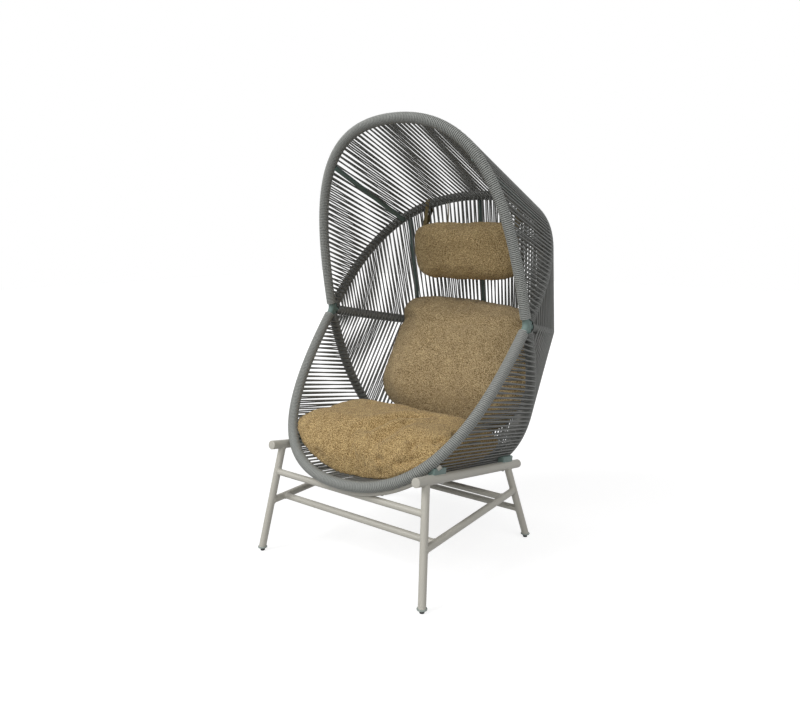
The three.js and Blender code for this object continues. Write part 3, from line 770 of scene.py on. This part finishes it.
def rail_end(side, end):
    x = side * RAIL_HALF_SPACING
    return (spot(x, -RAIL_AHEAD, RAIL_FRONT_HEIGHT) if end == "front"
            else spot(x, RAIL_BEHIND, RAIL_REAR_HEIGHT))


def rail_spot(side, share):
    return between(rail_end(side, "front"), rail_end(side, "rear"), share)


def leg_top(side, end):
    return rail_spot(side, LEG_SHARES[end])


def foot(side, end):
    x, depth = FEET[end]
    return spot(side * x, depth, 0)


def leg_spot(side, end, share):
    return between(leg_top(side, end), foot(side, end), share)


def stretcher_ends(side):
    return tuple(leg_spot(side, end, share) for end, share in STRETCHER_SHARES.items())


def leg_end(side, end):
    return leg_spot(side, end, 1 - LEG_END_HEIGHT / leg_top(side, end)[2])


print("front foot", foot(-1, "front").round(3), "rail front", rail_end(-1, "front").round(3))

# %% [markdown]
# The tubes meet in plain cut ends with a small weld bead round each. A bead follows the line
# where the two round surfaces meet, with a slight ripple left by the welder's hand.

# %% Tubes and welds of the base
BEAD_RADIUS = 0.0021
RIPPLE_HEIGHT, RIPPLE_WAVES, RIPPLE_JITTER = 0.0003, 17, 0.0002
bead_chains = []
ripple = np.random.default_rng(3)


def bead(end, towards, radius, other_start, other_end, other_radius, count=56):
    """A closed line where a tube that ends on another meets its surface."""
    run = unit(end - towards)
    side_way = unit(np.cross(run, [0.3, 0.5, 0.81]))
    other_way = np.cross(run, side_way)
    axis = unit(other_end - other_start)
    points = []
    for angle in np.linspace(0, 2 * math.pi, count, endpoint=False):
        start = towards + radius * (math.cos(angle) * side_way + math.sin(angle) * other_way)
        off = start - other_start
        off = off - axis * off.dot(axis)
        across = run - axis * run.dot(axis)
        a, b, c = across.dot(across), off.dot(across), off.dot(off) - other_radius ** 2
        room = b * b - a * c
        reach = (-b - math.sqrt(max(room, 0))) / a
        wave = (RIPPLE_HEIGHT * math.sin(angle * RIPPLE_WAVES)
                + ripple.uniform(-RIPPLE_JITTER, RIPPLE_JITTER))
        points.append(start + run * (reach + wave))
    bead_chains.append((points, True))


def straight(name, start, stop, radius, node):
    tube_piece(name, [([between(start, stop, t) for t in np.linspace(0, 1, 12)], False)],
               radius, base_coat, [node], sides=40)


for side, name in SIDES:
    straight("top_rail_" + name, rail_end(side, "front"), rail_end(side, "rear"),
             RAIL_RADIUS, "rail_" + name)
    low_front, low_rear = stretcher_ends(side)
    straight("lower_side_tube_" + name, low_front, low_rear, SIDE_RADIUS,
             "side_stretcher_" + name)
    for end, other, at_end in [("front", low_rear, low_front), ("rear", low_front, low_rear)]:
        top, bottom = leg_top(side, end), leg_end(side, end)
        straight(f"splayed_leg_{end}_{name}", top, bottom, LEG_RADIUS, f"leg_{end}_{name}")
        bead(top, bottom, LEG_RADIUS, rail_end(side, "front"), rail_end(side, "rear"), RAIL_RADIUS)
        bead(at_end, other, SIDE_RADIUS, top, foot(side, end), LEG_RADIUS)

low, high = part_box("front_crossbar")
front_level = (low[2] + high[2]) / 2
front_share = (leg_top(1, "front")[2] - front_level) / leg_top(1, "front")[2]
crossings = [
    ("upper_front_crossbar", "front_crossbar", lambda side: leg_spot(side, "front", front_share)),
    ("lower_rear_crossbar", "rear_crossbar",
     lambda side: leg_spot(side, "rear", REAR_CROSSBAR_SHARE)),
]
for name, node, place in crossings:
    end = node.split("_")[0]
    straight(name, place(-1), place(1), BAR_RADIUS, node)
    for side in (-1, 1):
        bead(place(side), place(-side), BAR_RADIUS, leg_top(side, end), foot(side, end), LEG_RADIUS)
for end, share in CROSS_SHARES.items():
    place = {side: between(*stretcher_ends(side), share) for side in (-1, 1)}
    straight(f"lower_{end}_cross_tube", place[-1], place[1], BAR_RADIUS, f"{end}_cross_stretcher")
    for side in (-1, 1):
        bead(place[side], place[-side], BAR_RADIUS, *stretcher_ends(side), SIDE_RADIUS)
print("made 12 straight tubes,", len(bead_chains), "weld beads")

# %% [markdown]
# The cradle bar is bent to the lower rim and runs close under it from rail to rail, so the
# shell rests along it.

# %% Cradle bar
CRADLE_RADIUS, CRADLE_TURN, CRADLE_END, CRADLE_CUT = 0.009, math.radians(18), 0.294, 0.004
WOUND_RADIUS, TOUCH_GAP = 0.0179, 0.0003
rim_angle = math.radians(BOWS["lower_rim"][1])
below = np.array([0, -math.sin(rim_angle), math.cos(rim_angle)])


def cradle_spot(share):
    rim = bows["lower_rim"]
    outward = np.cross(below, rim.heading(share))
    distance = WOUND_RADIUS + TOUCH_GAP + CRADLE_RADIUS
    return (rim.at(share) + below * distance * math.cos(CRADLE_TURN)
            + outward * distance * math.sin(CRADLE_TURN))


cradle = [cradle_spot(s) for s in
          np.linspace(CRADLE_END + CRADLE_CUT, 1 - CRADLE_END - CRADLE_CUT, 160)]
tube_piece("bent_cradle_bar", [(cradle, False)], CRADLE_RADIUS, base_coat,
           ["cradle_bar"])
tube_piece("base_weld_beads", bead_chains, BEAD_RADIUS, base_coat, sides=10,
           sharp=180)
print("cradle bar from", cradle[0].round(3), "to", cradle[-1].round(3))

# %% [markdown]
# Turned parts, such as caps, foot inserts, glides and bolts, are a profile spun round an
# axis. The profile is a list of radius and height pairs from one end of the axis to the
# other, and its corners are rounded by small steps.

# %% Spin a profile
def rounded(profile, radius, steps=4):
    """The profile with each inner corner cut by a small arc."""
    result = [profile[0]]
    for before, corner, after in zip(profile, profile[1:], profile[2:]):
        before, corner, after = (np.array(p, float) for p in (before, corner, after))
        back, on = before - corner, after - corner
        cut = min(radius, np.linalg.norm(back) * 0.45, np.linalg.norm(on) * 0.45)
        first, last = corner + unit(back) * cut, corner + unit(on) * cut
        result += [tuple((1 - t) ** 2 * first + 2 * t * (1 - t) * corner + t * t * last)
                   for t in np.linspace(0, 1, steps + 1)]
    return result + [profile[-1]]


def spin(form, profile, base, axis, segments=48):
    axis = unit(np.array(axis, float))
    across = unit(np.cross(axis, [0.11, 0.99, 0.07]))
    other = np.cross(axis, across)
    rings = []
    for radius, height in profile:
        middle = base + axis * height
        if radius < 1e-6:
            rings.append([form.verts.new(middle)])
        else:
            turns = np.linspace(0, 2 * math.pi, segments, endpoint=False)
            rings.append([form.verts.new(
                middle + radius * (math.cos(a) * across + math.sin(a) * other)) for a in turns])
    for ring, next_ring in zip(rings, rings[1:]):
        for i in range(segments):
            j = (i + 1) % segments
            corners = ([ring[0], next_ring[j], next_ring[i]] if len(ring) == 1 else
                       [ring[i], ring[j], next_ring[0]] if len(next_ring) == 1 else
                       [ring[i], ring[j], next_ring[j], next_ring[i]])
            form.faces.new(corners)


def spun_piece(name, parts, material, nodes, body="chair", sharp=35):
    form = bmesh.new()
    for profile, base, axis in parts:
        spin(form, profile, base, axis)
    bmesh.ops.recalc_face_normals(form, faces=form.faces)
    return settle(name, mesh_of(form, name), material, body, nodes, sharp)


print("spinning kit ready")

# %% [markdown]
# Each rail ends in a slightly domed cap. Each leg ends in a plastic insert with a round
# flange, and a black levelling glide stands under it on a threaded stem.

# %% Caps, inserts and glides
CAP_PROFILE = rounded([(0, -0.001), (RAIL_RADIUS, -0.001), (RAIL_RADIUS, 0.0027),
                       (RAIL_RADIUS * 0.7, 0.0035), (0, 0.0037)], 0.0012)
FLANGE_PROFILE = rounded([(0, 0.0107), (0.016, 0.0107), (0.016, 0.0147), (0.0125, 0.0156),
                          (0, 0.0156)], 0.0014)
GLIDE_PROFILE = rounded([(0, 0), (0.0078, 0), (0.0078, 0.0090), (0.0078, 0.0104), (0.003, 0.0104),
                         (0.003, 0.024), (0, 0.024)], 0.0012)
for side, name in SIDES:
    run = unit(rail_end(side, "rear") - rail_end(side, "front"))
    for end, way in [("front", -run), ("rear", run)]:
        spun_piece(f"domed_cap_{end}_{name}", [(CAP_PROFILE, rail_end(side, end), way)],
                   base_coat, [f"rail_cap_{end}_{name}"])
        low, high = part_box(f"foot_glide_{end}_{name}")
        middle = np.array([(low[0] + high[0]) / 2, (low[1] + high[1]) / 2, 0])
        spun_piece(f"leg_insert_{end}_{name}", [(FLANGE_PROFILE, middle, (0, 0, 1))],
                   insert_plastic, [f"foot_insert_{end}_{name}"])
        spun_piece(f"levelling_glide_{end}_{name}", [(GLIDE_PROFILE, middle, (0, 0, 1))],
                   glide_plastic, [f"foot_glide_{end}_{name}"],
                   f"glide_{end}_{name}")
print("made 4 caps, 4 inserts and 4 glides")

# %% [markdown]
# Four brackets stand on the rails and carry the shell, each held by a button-headed bolt from
# below. A bracket is drawn as a whole block with rounded edges, tilted with the rail.

# %% Brackets and bolts
BRACKET_SIZE, BRACKET_ROUNDING = (0.024, 0.066, 0.034), 0.004
BRACKETS = {"front": (-0.3186, 0.022), "rear": (0.1013, -0.022)}  # depth, and the bolt's shift
rail_slope = math.atan2(RAIL_REAR_HEIGHT - RAIL_FRONT_HEIGHT, RAIL_AHEAD + RAIL_BEHIND)


def bracket(name, side, middle, node):
    form = bmesh.new()
    bmesh.ops.create_cube(form, size=1)
    bmesh.ops.scale(form, vec=BRACKET_SIZE, verts=form.verts)
    bmesh.ops.bevel(form, geom=form.edges, offset=BRACKET_ROUNDING, segments=5, profile=0.5,
                    affect="EDGES")
    bmesh.ops.translate(form, vec=(-side * BRACKET_SIZE[0] / 4, 0, BRACKET_SIZE[2] / 2),
                        verts=form.verts)
    bmesh.ops.rotate(form, cent=(0, 0, 0), matrix=Matrix.Rotation(rail_slope, 3, "X"),
                     verts=form.verts)
    bmesh.ops.translate(form, vec=middle, verts=form.verts)
    settle(name, mesh_of(form, name), shell_coat, "chair", [node], 60)


HEAD_PROFILE = rounded([(0, 0.0005), (0.0055, 0.0005), (0.0055, 0.0016), (0.0043, 0.0033),
                        (0.0026, 0.0038), (0.0022, 0.0022), (0, 0.0022)], 0.0005)
for side, name in SIDES:
    run = unit(rail_end(side, "rear") - rail_end(side, "front"))
    up = np.cross([1, 0, 0], run)
    for end, (depth, shift) in BRACKETS.items():
        middle = rail_spot(side, (RAIL_AHEAD + depth) / (RAIL_AHEAD + RAIL_BEHIND))
        bracket(f"rail_saddle_{end}_{name}", side, middle, f"shell_bracket_{end}_{name}")
        base = middle + run * shift - up * (RAIL_RADIUS - 0.0005)
        spun_piece(f"saddle_bolt_{end}_{name}", [(HEAD_PROFILE, base, -up)], bolt_steel,
                   [f"bracket_bolt_{end}_{name}"], sharp=50)
print("made 4 brackets and 4 bolts")

# %% [markdown]
# The cushions start as pads: two skins over a rounded rectangle that meet at a seam. A pad's
# plan runs from -1 to 1 both ways, a superellipse squares it off, and the fullness stays
# high towards the seam. Each cushion says where a plan point lies on its two faces.

# %% Pad skins
PAD_RINGS, PAD_SPOKES, PAD_FULLNESS = 26, 120, 4


def pad_mesh(name, face, squareness):
    """A closed skin over a superellipse, with face(u, v, fullness, upper) giving its points."""
    def ring_points(ring, upper):
        radius = math.sin(math.pi / 2 * ring / PAD_RINGS)
        fullness = math.sqrt(max(0, 1 - radius ** PAD_FULLNESS))
        points = []
        for j in range(1 if ring == 0 else PAD_SPOKES):
            u, v = (wave(2 * math.pi * j / PAD_SPOKES) for wave in (math.cos, math.sin))
            reach = radius / (abs(u) ** squareness + abs(v) ** squareness) ** (1 / squareness)
            points.append(face(reach * u, reach * v, fullness, upper))
        return points

    order = [(ring, False) for ring in range(PAD_RINGS + 1)]
    order += [(ring, True) for ring in range(PAD_RINGS - 1, -1, -1)]
    form = bmesh.new()
    rings = [[form.verts.new(p) for p in ring_points(*step)] for step in order]
    for ring, after in zip(rings, rings[1:]):
        for i in range(PAD_SPOKES):
            j = (i + 1) % PAD_SPOKES
            if len(ring) == 1:
                form.faces.new([ring[0], after[i], after[j]])
            elif len(after) == 1:
                form.faces.new([ring[i], after[0], ring[j]])
            else:
                form.faces.new([ring[i], after[i], after[j], ring[j]])
    bmesh.ops.recalc_face_normals(form, faces=form.faces)
    seam = np.array([vert.co[:] for vert in rings[PAD_RINGS]])
    return mesh_of(form, name), seam


print("pad kit ready")

# %% [markdown]
# A cushion isn't a smooth pad. A short cloth simulation blows each one up a little inside
# its own cover, which gives the slack folds near the seams. The result is only allowed to
# move so far from the pad, so that the cushion keeps its place between the cords.

# %% Blow up a cushion
def coordinates(mesh):
    spots = np.empty(len(mesh.vertices) * 3)
    mesh.vertices.foreach_get("co", spots)
    return spots.reshape(-1, 3)


def move_vertices(mesh, spots):
    mesh.vertices.foreach_set("co", spots.astype(np.float32).ravel())
    mesh.update()


def through_modifier(mesh, kind, **settings):
    """The mesh that one modifier makes of this one."""
    thing = bpy.data.objects.new("worked", mesh)
    bpy.context.collection.objects.link(thing)
    modifier = thing.modifiers.new("work", kind)
    for key, value in settings.items():
        setattr(modifier, key, value)
    result = evaluated_copy(thing)
    bpy.data.objects.remove(thing, do_unlink=True)
    return result


def smoothed(mesh, rounds):
    form = bmesh.new()
    form.from_mesh(mesh)
    for _ in range(rounds):
        bmesh.ops.smooth_vert(form, verts=form.verts, factor=0.5, use_axis_x=True,
                              use_axis_y=True, use_axis_z=True)
    form.to_mesh(mesh)
    form.free()


CLOTH_PRESSURE, CLOTH_FRAMES = 3.0, 20


def blown(mesh, cap, voxel):
    """The mesh after a short cloth simulation, at most cap metres from where it was."""
    mesh = through_modifier(mesh, "REMESH", mode="VOXEL",
                            voxel_size=voxel * 1)
    smoothed(mesh, 2)
    thing = bpy.data.objects.new("blown", mesh)
    bpy.context.collection.objects.link(thing)
    cloth = thing.modifiers.new("cloth", "CLOTH")
    rules = cloth.settings
    rules.use_pressure, rules.uniform_pressure_force = True, CLOTH_PRESSURE
    rules.quality, rules.mass = 5, 0.3
    rules.tension_stiffness = rules.compression_stiffness = 12
    rules.shear_stiffness, rules.bending_stiffness = 4, 0.4
    rules.effector_weights.gravity = 0
    cloth.collision_settings.use_collision = False
    cloth.point_cache.frame_start, cloth.point_cache.frame_end = 1, CLOTH_FRAMES
    scene = bpy.context.scene
    for frame_number in range(1, CLOTH_FRAMES + 1):
        scene.frame_set(frame_number)
    result = evaluated_copy(thing)
    scene.frame_set(1)
    start, moved = coordinates(mesh), coordinates(result)
    step = moved - start
    length = np.linalg.norm(step, axis=1, keepdims=True)
    move_vertices(mesh, start + step * np.minimum(1, cap / np.maximum(length, 1e-9)))
    bpy.data.objects.remove(thing, do_unlink=True)
    return mesh


print("cloth kit ready")

# %% [markdown]
# After the simulation come the details that are modelled one by one: the seam, which is a
# narrow valley with a stitched ridge on each side, the creases where the filling has given
# way, and a cloth chart in metres for the weave.

# %% Seams, creases and the cloth chart
def normals_of(mesh):
    found = np.empty(len(mesh.vertices) * 3)
    mesh.vertices.foreach_get("normal", found)
    return found.reshape(-1, 3)


def distance_to_line(spots, line):
    """Each spot's distance from a chain of points, and the share of the chain nearest it."""
    best = np.full(len(spots), 1e9)
    share = np.zeros(len(spots))
    for i, (start, stop) in enumerate(zip(line, line[1:])):
        run = stop - start
        t = np.clip(((spots - start) @ run) / run.dot(run), 0, 1)
        gap = np.linalg.norm(spots - start - t[:, None] * run, axis=1)
        nearer = gap < best
        best[nearer], share[nearer] = gap[nearer], (i + t[nearer]) / (len(line) - 1)
    return best, share


def sew(mesh, seam, depth=0.0035, width=0.006, pucker=0.0012):
    """Draws the mesh in along the seam, with small puckers beside it."""
    spots, normals = coordinates(mesh), normals_of(mesh)
    gap, share = distance_to_line(spots, np.vstack([seam, seam[:1]]))
    dip = -depth * np.exp(-(gap / (width * 0.45)) ** 2)
    ridge = 0.5 * depth * np.exp(-((gap - width) / (width * 0.6)) ** 2)
    fade = np.exp(-(gap / 0.03) ** 2)
    wave = np.sin(share * 2 * math.pi * 61) * 0.6 + np.sin(share * 2 * math.pi * 97 + 1) * 0.4
    move_vertices(mesh, spots + normals * (dip + ridge + pucker * wave * fade)[:, None])


def crease(mesh, line, depth, width):
    """A fold along a chain of points near the skin: a valley with a soft swell on both sides."""
    spots, normals = coordinates(mesh), normals_of(mesh)
    on_skin = [spots[np.linalg.norm(spots - point, axis=1).argmin()] for point in line]
    gap, share = distance_to_line(spots, np.array(on_skin))
    taper = np.clip(np.minimum(share, 1 - share) * 4, 0.0, 1)
    valley = -depth * np.exp(-(gap / width) ** 2)
    swell = depth * 0.45 * np.exp(-((gap - width * 2.2) / (width * 1.3)) ** 2)
    move_vertices(mesh, spots + normals * ((valley + swell) * taper)[:, None])


def slacken(mesh, height, size, seed):
    """Slow lumps over the whole skin, from a noise with bumps of about that size."""
    shift = Vector((seed * 7.3, seed * 1.9, seed * 3.1))
    spots, normals = coordinates(mesh), normals_of(mesh)
    rise = [noise.noise(Vector(spot) / size + shift) for spot in spots]
    move_vertices(mesh, spots + normals * (height * np.array(rise))[:, None])


def lay_chart(mesh, origin, across, up):
    """A UV map in metres, unrolled over the cushion's edges like the lid of a box."""
    out = np.cross(across, up)
    spots, normals = coordinates(mesh) - origin, normals_of(mesh)
    height = spots @ out
    upper = normals @ out > 0
    crown = np.where(upper, height.max(), height.min())
    plan = np.stack([spots @ across, spots @ up], axis=1)
    lean = np.stack([normals @ across, normals @ up], axis=1)
    lean = lean / np.maximum(np.linalg.norm(lean, axis=1, keepdims=True), 0.35)
    chart = plan + lean * np.abs(crown - height)[:, None]
    corners = np.empty(len(mesh.loops), dtype=np.int64)
    mesh.loops.foreach_get("vertex_index", corners)
    layer = mesh.uv_layers.new(name="cloth")
    layer.uv.foreach_set("vector", chart[corners].astype(np.float32).ravel())


def cushion(name, pad, cap, lumps, chart, look, node, body="chair", fill=0.7, voxel=0.006,
            folds=(), **seam_size):
    """Blows a pad up, gives it its lumps, folds and seam, and settles it as a piece."""
    mesh, seam = pad
    mesh = blown(mesh, cap, voxel)
    for lump in lumps:
        slacken(mesh, *lump)
    for fold in folds:
        crease(mesh, *fold)
    sew(mesh, seam, **seam_size)
    mesh = through_modifier(mesh, "SUBSURF", levels=1, render_levels=1)
    lay_chart(mesh, *chart)
    material, slot = look
    piece = settle(name, mesh, material, body, [node], 180)
    print(name, "faces", len(mesh.polygons), "volume", round(volume_of(mesh), 4))


print("sewing kit ready")

# %% [markdown]
# The seat cushion is a deep, slack bag. Its underside lies on the seat cords, from the lower
# rim to the lower hoop, and its top is nearly level. Its front corners reach the rim, while
# the middle of its front edge stays a little behind it.

# %% Seat cushion
SEAT_SPAN, SEAT_FRONT, SEAT_REAR = 0.237, 0.10, 0.82
SEAT_LIP, SEAT_BEND, SEAT_SQUARENESS = 0.16, 0.2, 8
SEAT_CROWN, SEAT_LEAST_RISE, CORD_GAP = 0.480, 0.036, 0.0056


def seat_face(u, v, fullness, upper):
    share = 0.5 + u * SEAT_SPAN
    front = SEAT_FRONT - SEAT_LIP * (math.hypot(u, SEAT_BEND) - SEAT_BEND)
    depth = front + (SEAT_REAR - front) * (v + 1) / 2
    under = between(bows["lower_rim"].at(share), bows["lower_hoop"].at(share), depth)
    under = under - facing(bows["lower_hoop"], bows["lower_rim"], share) * CORD_GAP
    if upper:
        under = under + [0, 0, max(SEAT_CROWN - under[2], SEAT_LEAST_RISE) * fullness]
    return under


SEAT_FOLDS = [  # each a chain of points, a depth and a width
    ([(0.15, -0.10, 0.478), (0.08, -0.19, 0.480), (0.04, -0.26, 0.478), (-0.03, -0.32, 0.467)],
     0.021, 0.020),
    ([(0.135, -0.18, 0.479), (0.12, -0.25, 0.478), (0.095, -0.31, 0.468), (0.06, -0.36, 0.44)],
     0.012, 0.016),
    ([(0.208, -0.31, 0.458), (0.211, -0.325, 0.452), (0.218, -0.36, 0.42)], 0.010, 0.009),
    ([(0.16, -0.39, 0.385), (0.20, -0.366, 0.405), (0.25, -0.338, 0.425)], 0.011, 0.010),
    ([(0.262, -0.29, 0.455), (0.267, -0.277, 0.459), (0.275, -0.25, 0.462)], 0.010, 0.008),
    ([(0.09, -0.392, 0.40), (0.113, -0.387, 0.405), (0.13, -0.384, 0.40)], 0.009, 0.009),
]
ACROSS = np.array([1.0, 0, 0])
cushion("slack_seat_cushion", pad_mesh("seat", seat_face, SEAT_SQUARENESS), 0.012,
        [(0.007, 0.11, 1), (0.0025, 0.035, 2)],
        (np.array([0, HUB_Y - 0.14, 0.35]), ACROSS, np.array([0, 1.0, 0])),
        (seat_cloth, "seat_fabric"), "seat_cushion", folds=SEAT_FOLDS)

# %% [markdown]
# The back cushion leans on the wall of cords behind it, from the lower back panel over the
# middle hoop to the back panel. It has slumped a little: its top has shifted to the left,
# and the upper corner on the right droops.

# %% Back cushion
BACK_SPAN, BACK_BOTTOM, BACK_TOP = 0.249, 0.19, 0.24
BACK_THICKNESS, BACK_SQUARENESS = 0.185, 7
BACK_NEAR, BACK_REACH = 1 / 48, 1 / 4
BACK_SHIFT, BACK_TILT, BACK_DROOP = 0.007, 0.045, 0.035


def wall_spot(share, rise):
    lower, middle, upper = bows["lower_hoop"], bows["middle_hoop"], bows["rear_arch"]
    return (between(lower.at(share), middle.at(share), rise) if rise < 1
            else between(middle.at(share), upper.at(share), rise - 1))


def back_face(u, v, fullness, upper):
    up_share = (v + 1) / 2
    share = 0.5 + u * BACK_SPAN - BACK_SHIFT * up_share
    rise = (BACK_BOTTOM + (1 + BACK_TOP - BACK_BOTTOM) * up_share
            - (BACK_TILT * u + BACK_DROOP * u ** 4) * up_share)
    across = wall_spot(share + BACK_NEAR, rise) - wall_spot(share - BACK_NEAR, rise)
    up = wall_spot(share, rise + BACK_REACH) - wall_spot(share, rise - BACK_REACH)
    inward = unit(np.cross(up, across))
    inward = inward if inward[1] < 0 else -inward
    distance = CORD_GAP + (BACK_THICKNESS * fullness if upper else 0)
    return wall_spot(share, rise) + inward * distance


cushion("slack_back_cushion", pad_mesh("back", back_face, BACK_SQUARENESS), 0.012,
        [(0.006, 0.12, 3), (0.0025, 0.04, 4)],
        (np.array([0, HUB_Y + 0.3, 0.65]), ACROSS, unit(np.array([0, 0.25, 1.0]))),
        (back_cloth, "back_fabric"), "back_cushion")

# %% [markdown]
# The head pillow is a plump rectangle that hangs by its straps from the rear arch and leans
# back a little.

# %% Head pillow
PILLOW_HALF_WIDTH, PILLOW_HALF_HEIGHT, PILLOW_THICKNESS = 0.227, 0.108, 0.112
PILLOW_SQUARENESS = 4.6
PILLOW_MIDDLE = np.array([-0.007, HUB_Y + 0.303, 1.021])
PILLOW_LEAN = math.radians(7)
lean_matrix = np.array(Matrix.Rotation(PILLOW_LEAN, 3, "X"))


def pillow_face(u, v, fullness, upper):
    flat = np.array([u * PILLOW_HALF_WIDTH,
                     (-1 if upper else 1) * PILLOW_THICKNESS / 2 * fullness,
                     v * PILLOW_HALF_HEIGHT])
    return lean_matrix @ flat + PILLOW_MIDDLE


cushion("plump_head_pillow", pad_mesh("pillow", pillow_face, PILLOW_SQUARENESS), 0.006,
        [(0.004, 0.08, 5), (0.0018, 0.03, 6)],
        (PILLOW_MIDDLE, ACROSS, lean_matrix @ np.array([0, 0, 1.0])),
        (head_cloth, "head_fabric"), "head_pillow", "pillow", 0.8, 0.004,
        depth=0.003, width=0.005)

# %% [markdown]
# The straps are flat webbing that hooks over the rear arch and is sewn to the pillow's back.
# A thin tie runs from the arch to the pillow beside the left one. Each is a ribbon: a path
# with a width and a thickness.

# %% Straps and tie
def ribbon(name, node, path, width, thickness):
    form = bmesh.new()
    chart = form.loops.layers.uv.new("cloth")
    path = [np.array(p, float) for p in path]
    run = [0.0]
    for before, after in zip(path, path[1:]):
        run.append(run[-1] + float(np.linalg.norm(after - before)))
    section = [(-1, -1), (-0.94, -1), (0.94, -1), (1, -1), (1, 1), (0.94, 1), (-0.94, 1), (-1, 1)]
    section = [(a * width / 2, b * thickness / 2 * (0.6 if abs(a) == 1 else 1)) for a, b in section]
    rings = []
    for i, here in enumerate(path):
        heading = unit(path[min(i + 1, len(path) - 1)] - path[max(i - 1, 0)])
        side_way = unit(ACROSS - heading * heading.dot(ACROSS))
        face_way = np.cross(heading, side_way)
        rings.append([form.verts.new(here + side_way * a + face_way * b) for a, b in section])
    n = len(section)
    for k, (ring, after) in enumerate(zip(rings, rings[1:])):
        for i in range(n):
            j = (i + 1) % n
            face = form.faces.new([ring[i], ring[j], after[j], after[i]])
            near, far = section[i][0], section[j][0]
            for loop, uv in zip(face.loops, [(near, run[k]), (far, run[k]),
                                             (far, run[k + 1]), (near, run[k + 1])]):
                loop[chart].uv = uv
    form.faces.new(rings[0][::-1])
    form.faces.new(rings[-1])
    bmesh.ops.recalc_face_normals(form, faces=form.faces)
    settle(name, mesh_of(form, name), strap_web, "pillow", [node], 40)


STRAP_SHARE, STRAP_WIDTH, STRAP_THICKNESS = 0.372, 0.0165, 0.0022
WRAP_RADIUS, WRAP_START, WRAP_STOP = 0.0196, math.radians(-20), math.radians(200)
TIE_SHARE, TIE_PILLOW_SHARE, TIE_WIDTH, TIE_THICKNESS = 0.42, 0.35, 0.005, 0.0016
TIE_REACH, TIE_SAG = 0.0195, 0.003
arch = bows["rear_arch"]
for side, name in SIDES:
    top = arch.at(STRAP_SHARE if side < 0 else 1 - STRAP_SHARE)
    turn = [top + WRAP_RADIUS * (math.cos(a) * np.array([0, -1.0, 0])
                                 + math.sin(a) * np.array([0, 0, 1.0]))
            for a in np.linspace(WRAP_START, WRAP_STOP, 14)]
    pillow_top = lean_matrix @ np.array([top[0], 0.020, 0.088]) + PILLOW_MIDDLE
    pillow_top[0] = top[0]
    front_run = [between(pillow_top, turn[0], t) for t in np.linspace(0, 0.97, 9)]
    back_run = [between(turn[-1], pillow_top + [0, 0.006, -0.004], t)
                for t in np.linspace(0.03, 1, 9)]
    ribbon("webbing_strap_" + name, "pillow_strap_" + name, front_run + turn + back_run,
           STRAP_WIDTH, STRAP_THICKNESS)

tie_end = (lean_matrix @ np.array([-PILLOW_HALF_WIDTH * TIE_PILLOW_SHARE, 0.01, 0.096])
           + PILLOW_MIDDLE)
tie_top = arch.at(TIE_SHARE) + TIE_REACH * unit(tie_end - arch.at(TIE_SHARE))
tie_path = [between(tie_end, tie_top, t) + np.array([0, TIE_SAG * math.sin(math.pi * t), 0])
            for t in np.linspace(0, 1, 12)]
ribbon("thin_tie", "pillow_tie", tie_path, TIE_WIDTH, TIE_THICKNESS)
print("made 2 straps and a tie")

# %% [markdown]
# The setting is a pale floor and plain soft light, as in a product photograph. The world is
# white where the camera looks past the floor, but dim as a lamp, so the inside of the hood
# stays dark. The floor does the same: it shows almost white, keeps the chair's shadow and
# throws little light back up. A broad key sun stands at the front left, a weaker one fills in
# from the right, and a low faint one reaches the pillow under the hood.

# %% Floor and lights
FLOOR_HALF, FLOOR_GREY, FLOOR_WHITE = 12, (0.35, 0.35, 0.35, 1), (0.8, 0.8, 0.8, 1)
floor_mesh = bpy.data.meshes.new("floor")
floor_mesh.from_pydata([(x * FLOOR_HALF, y * FLOOR_HALF, 0) for x, y in
                        ((-1, -1), (1, -1), (1, 1), (-1, 1))], [], [(0, 1, 2, 3)])
floor = bpy.data.objects.new("floor", floor_mesh)
bpy.context.collection.objects.link(floor)
floor_finish = Finish("pale_floor", Roughness=0.9)
floor_finish.show("Base Color", FLOOR_GREY)
floor_finish.show("Emission Strength", 1.0)
SHOWN_RAYS = ("Is Glossy Ray", "Is Transmission Ray")
seen = floor_finish.node("ShaderNodeLightPath", {}, {}, output="Is Camera Ray")
for ray in SHOWN_RAYS:
    seen = seen.larger(floor_finish.node("ShaderNodeLightPath", {}, {}, output=ray))
floor_finish.show("Emission Color", floor_finish.blend((0, 0, 0, 1), FLOOR_WHITE, seen))
floor_mesh.materials.append(floor_finish.material)

WORLD_LIGHT, WORLD_WHITE = 0.25, 1.0
world = bpy.data.worlds.new("studio")
world.use_nodes = True
bpy.context.scene.world = world
world.node_tree.nodes.clear()
add = adder(world.node_tree)
path = add("ShaderNodeLightPath")
dim, bright = (add("ShaderNodeBackground", Color=(1, 1, 1, 1), Strength=strength)
               for strength in (WORLD_LIGHT, WORLD_WHITE))
seen = path.outputs["Is Camera Ray"]
for ray in SHOWN_RAYS:
    seen = add("ShaderNodeMath", {"operation": "MAXIMUM"},
               i0=seen, i1=path.outputs[ray]).outputs[0]
mixed = add("ShaderNodeMixShader", i0=seen, i1=dim.outputs[0], i2=bright.outputs[0])
add("ShaderNodeOutputWorld", Surface=mixed.outputs[0])


def sun(name, towards, softness, strength):
    data = bpy.data.lights.new(name, "SUN")
    data.angle, data.energy = math.radians(softness), strength
    thing = bpy.data.objects.new(name, data)
    thing.rotation_euler = Vector(towards).to_track_quat("Z", "Y").to_euler()
    bpy.context.collection.objects.link(thing)


sun("key_sun", (-0.45, -0.85, 0.9), 24, 1.5)
sun("fill_sun", (0.95, -0.5, 1.0), 40, 0.75)
sun("front_sun", (0.2, -1.0, 0.4), 40, 0.5)
print("floor, world and 3 suns")
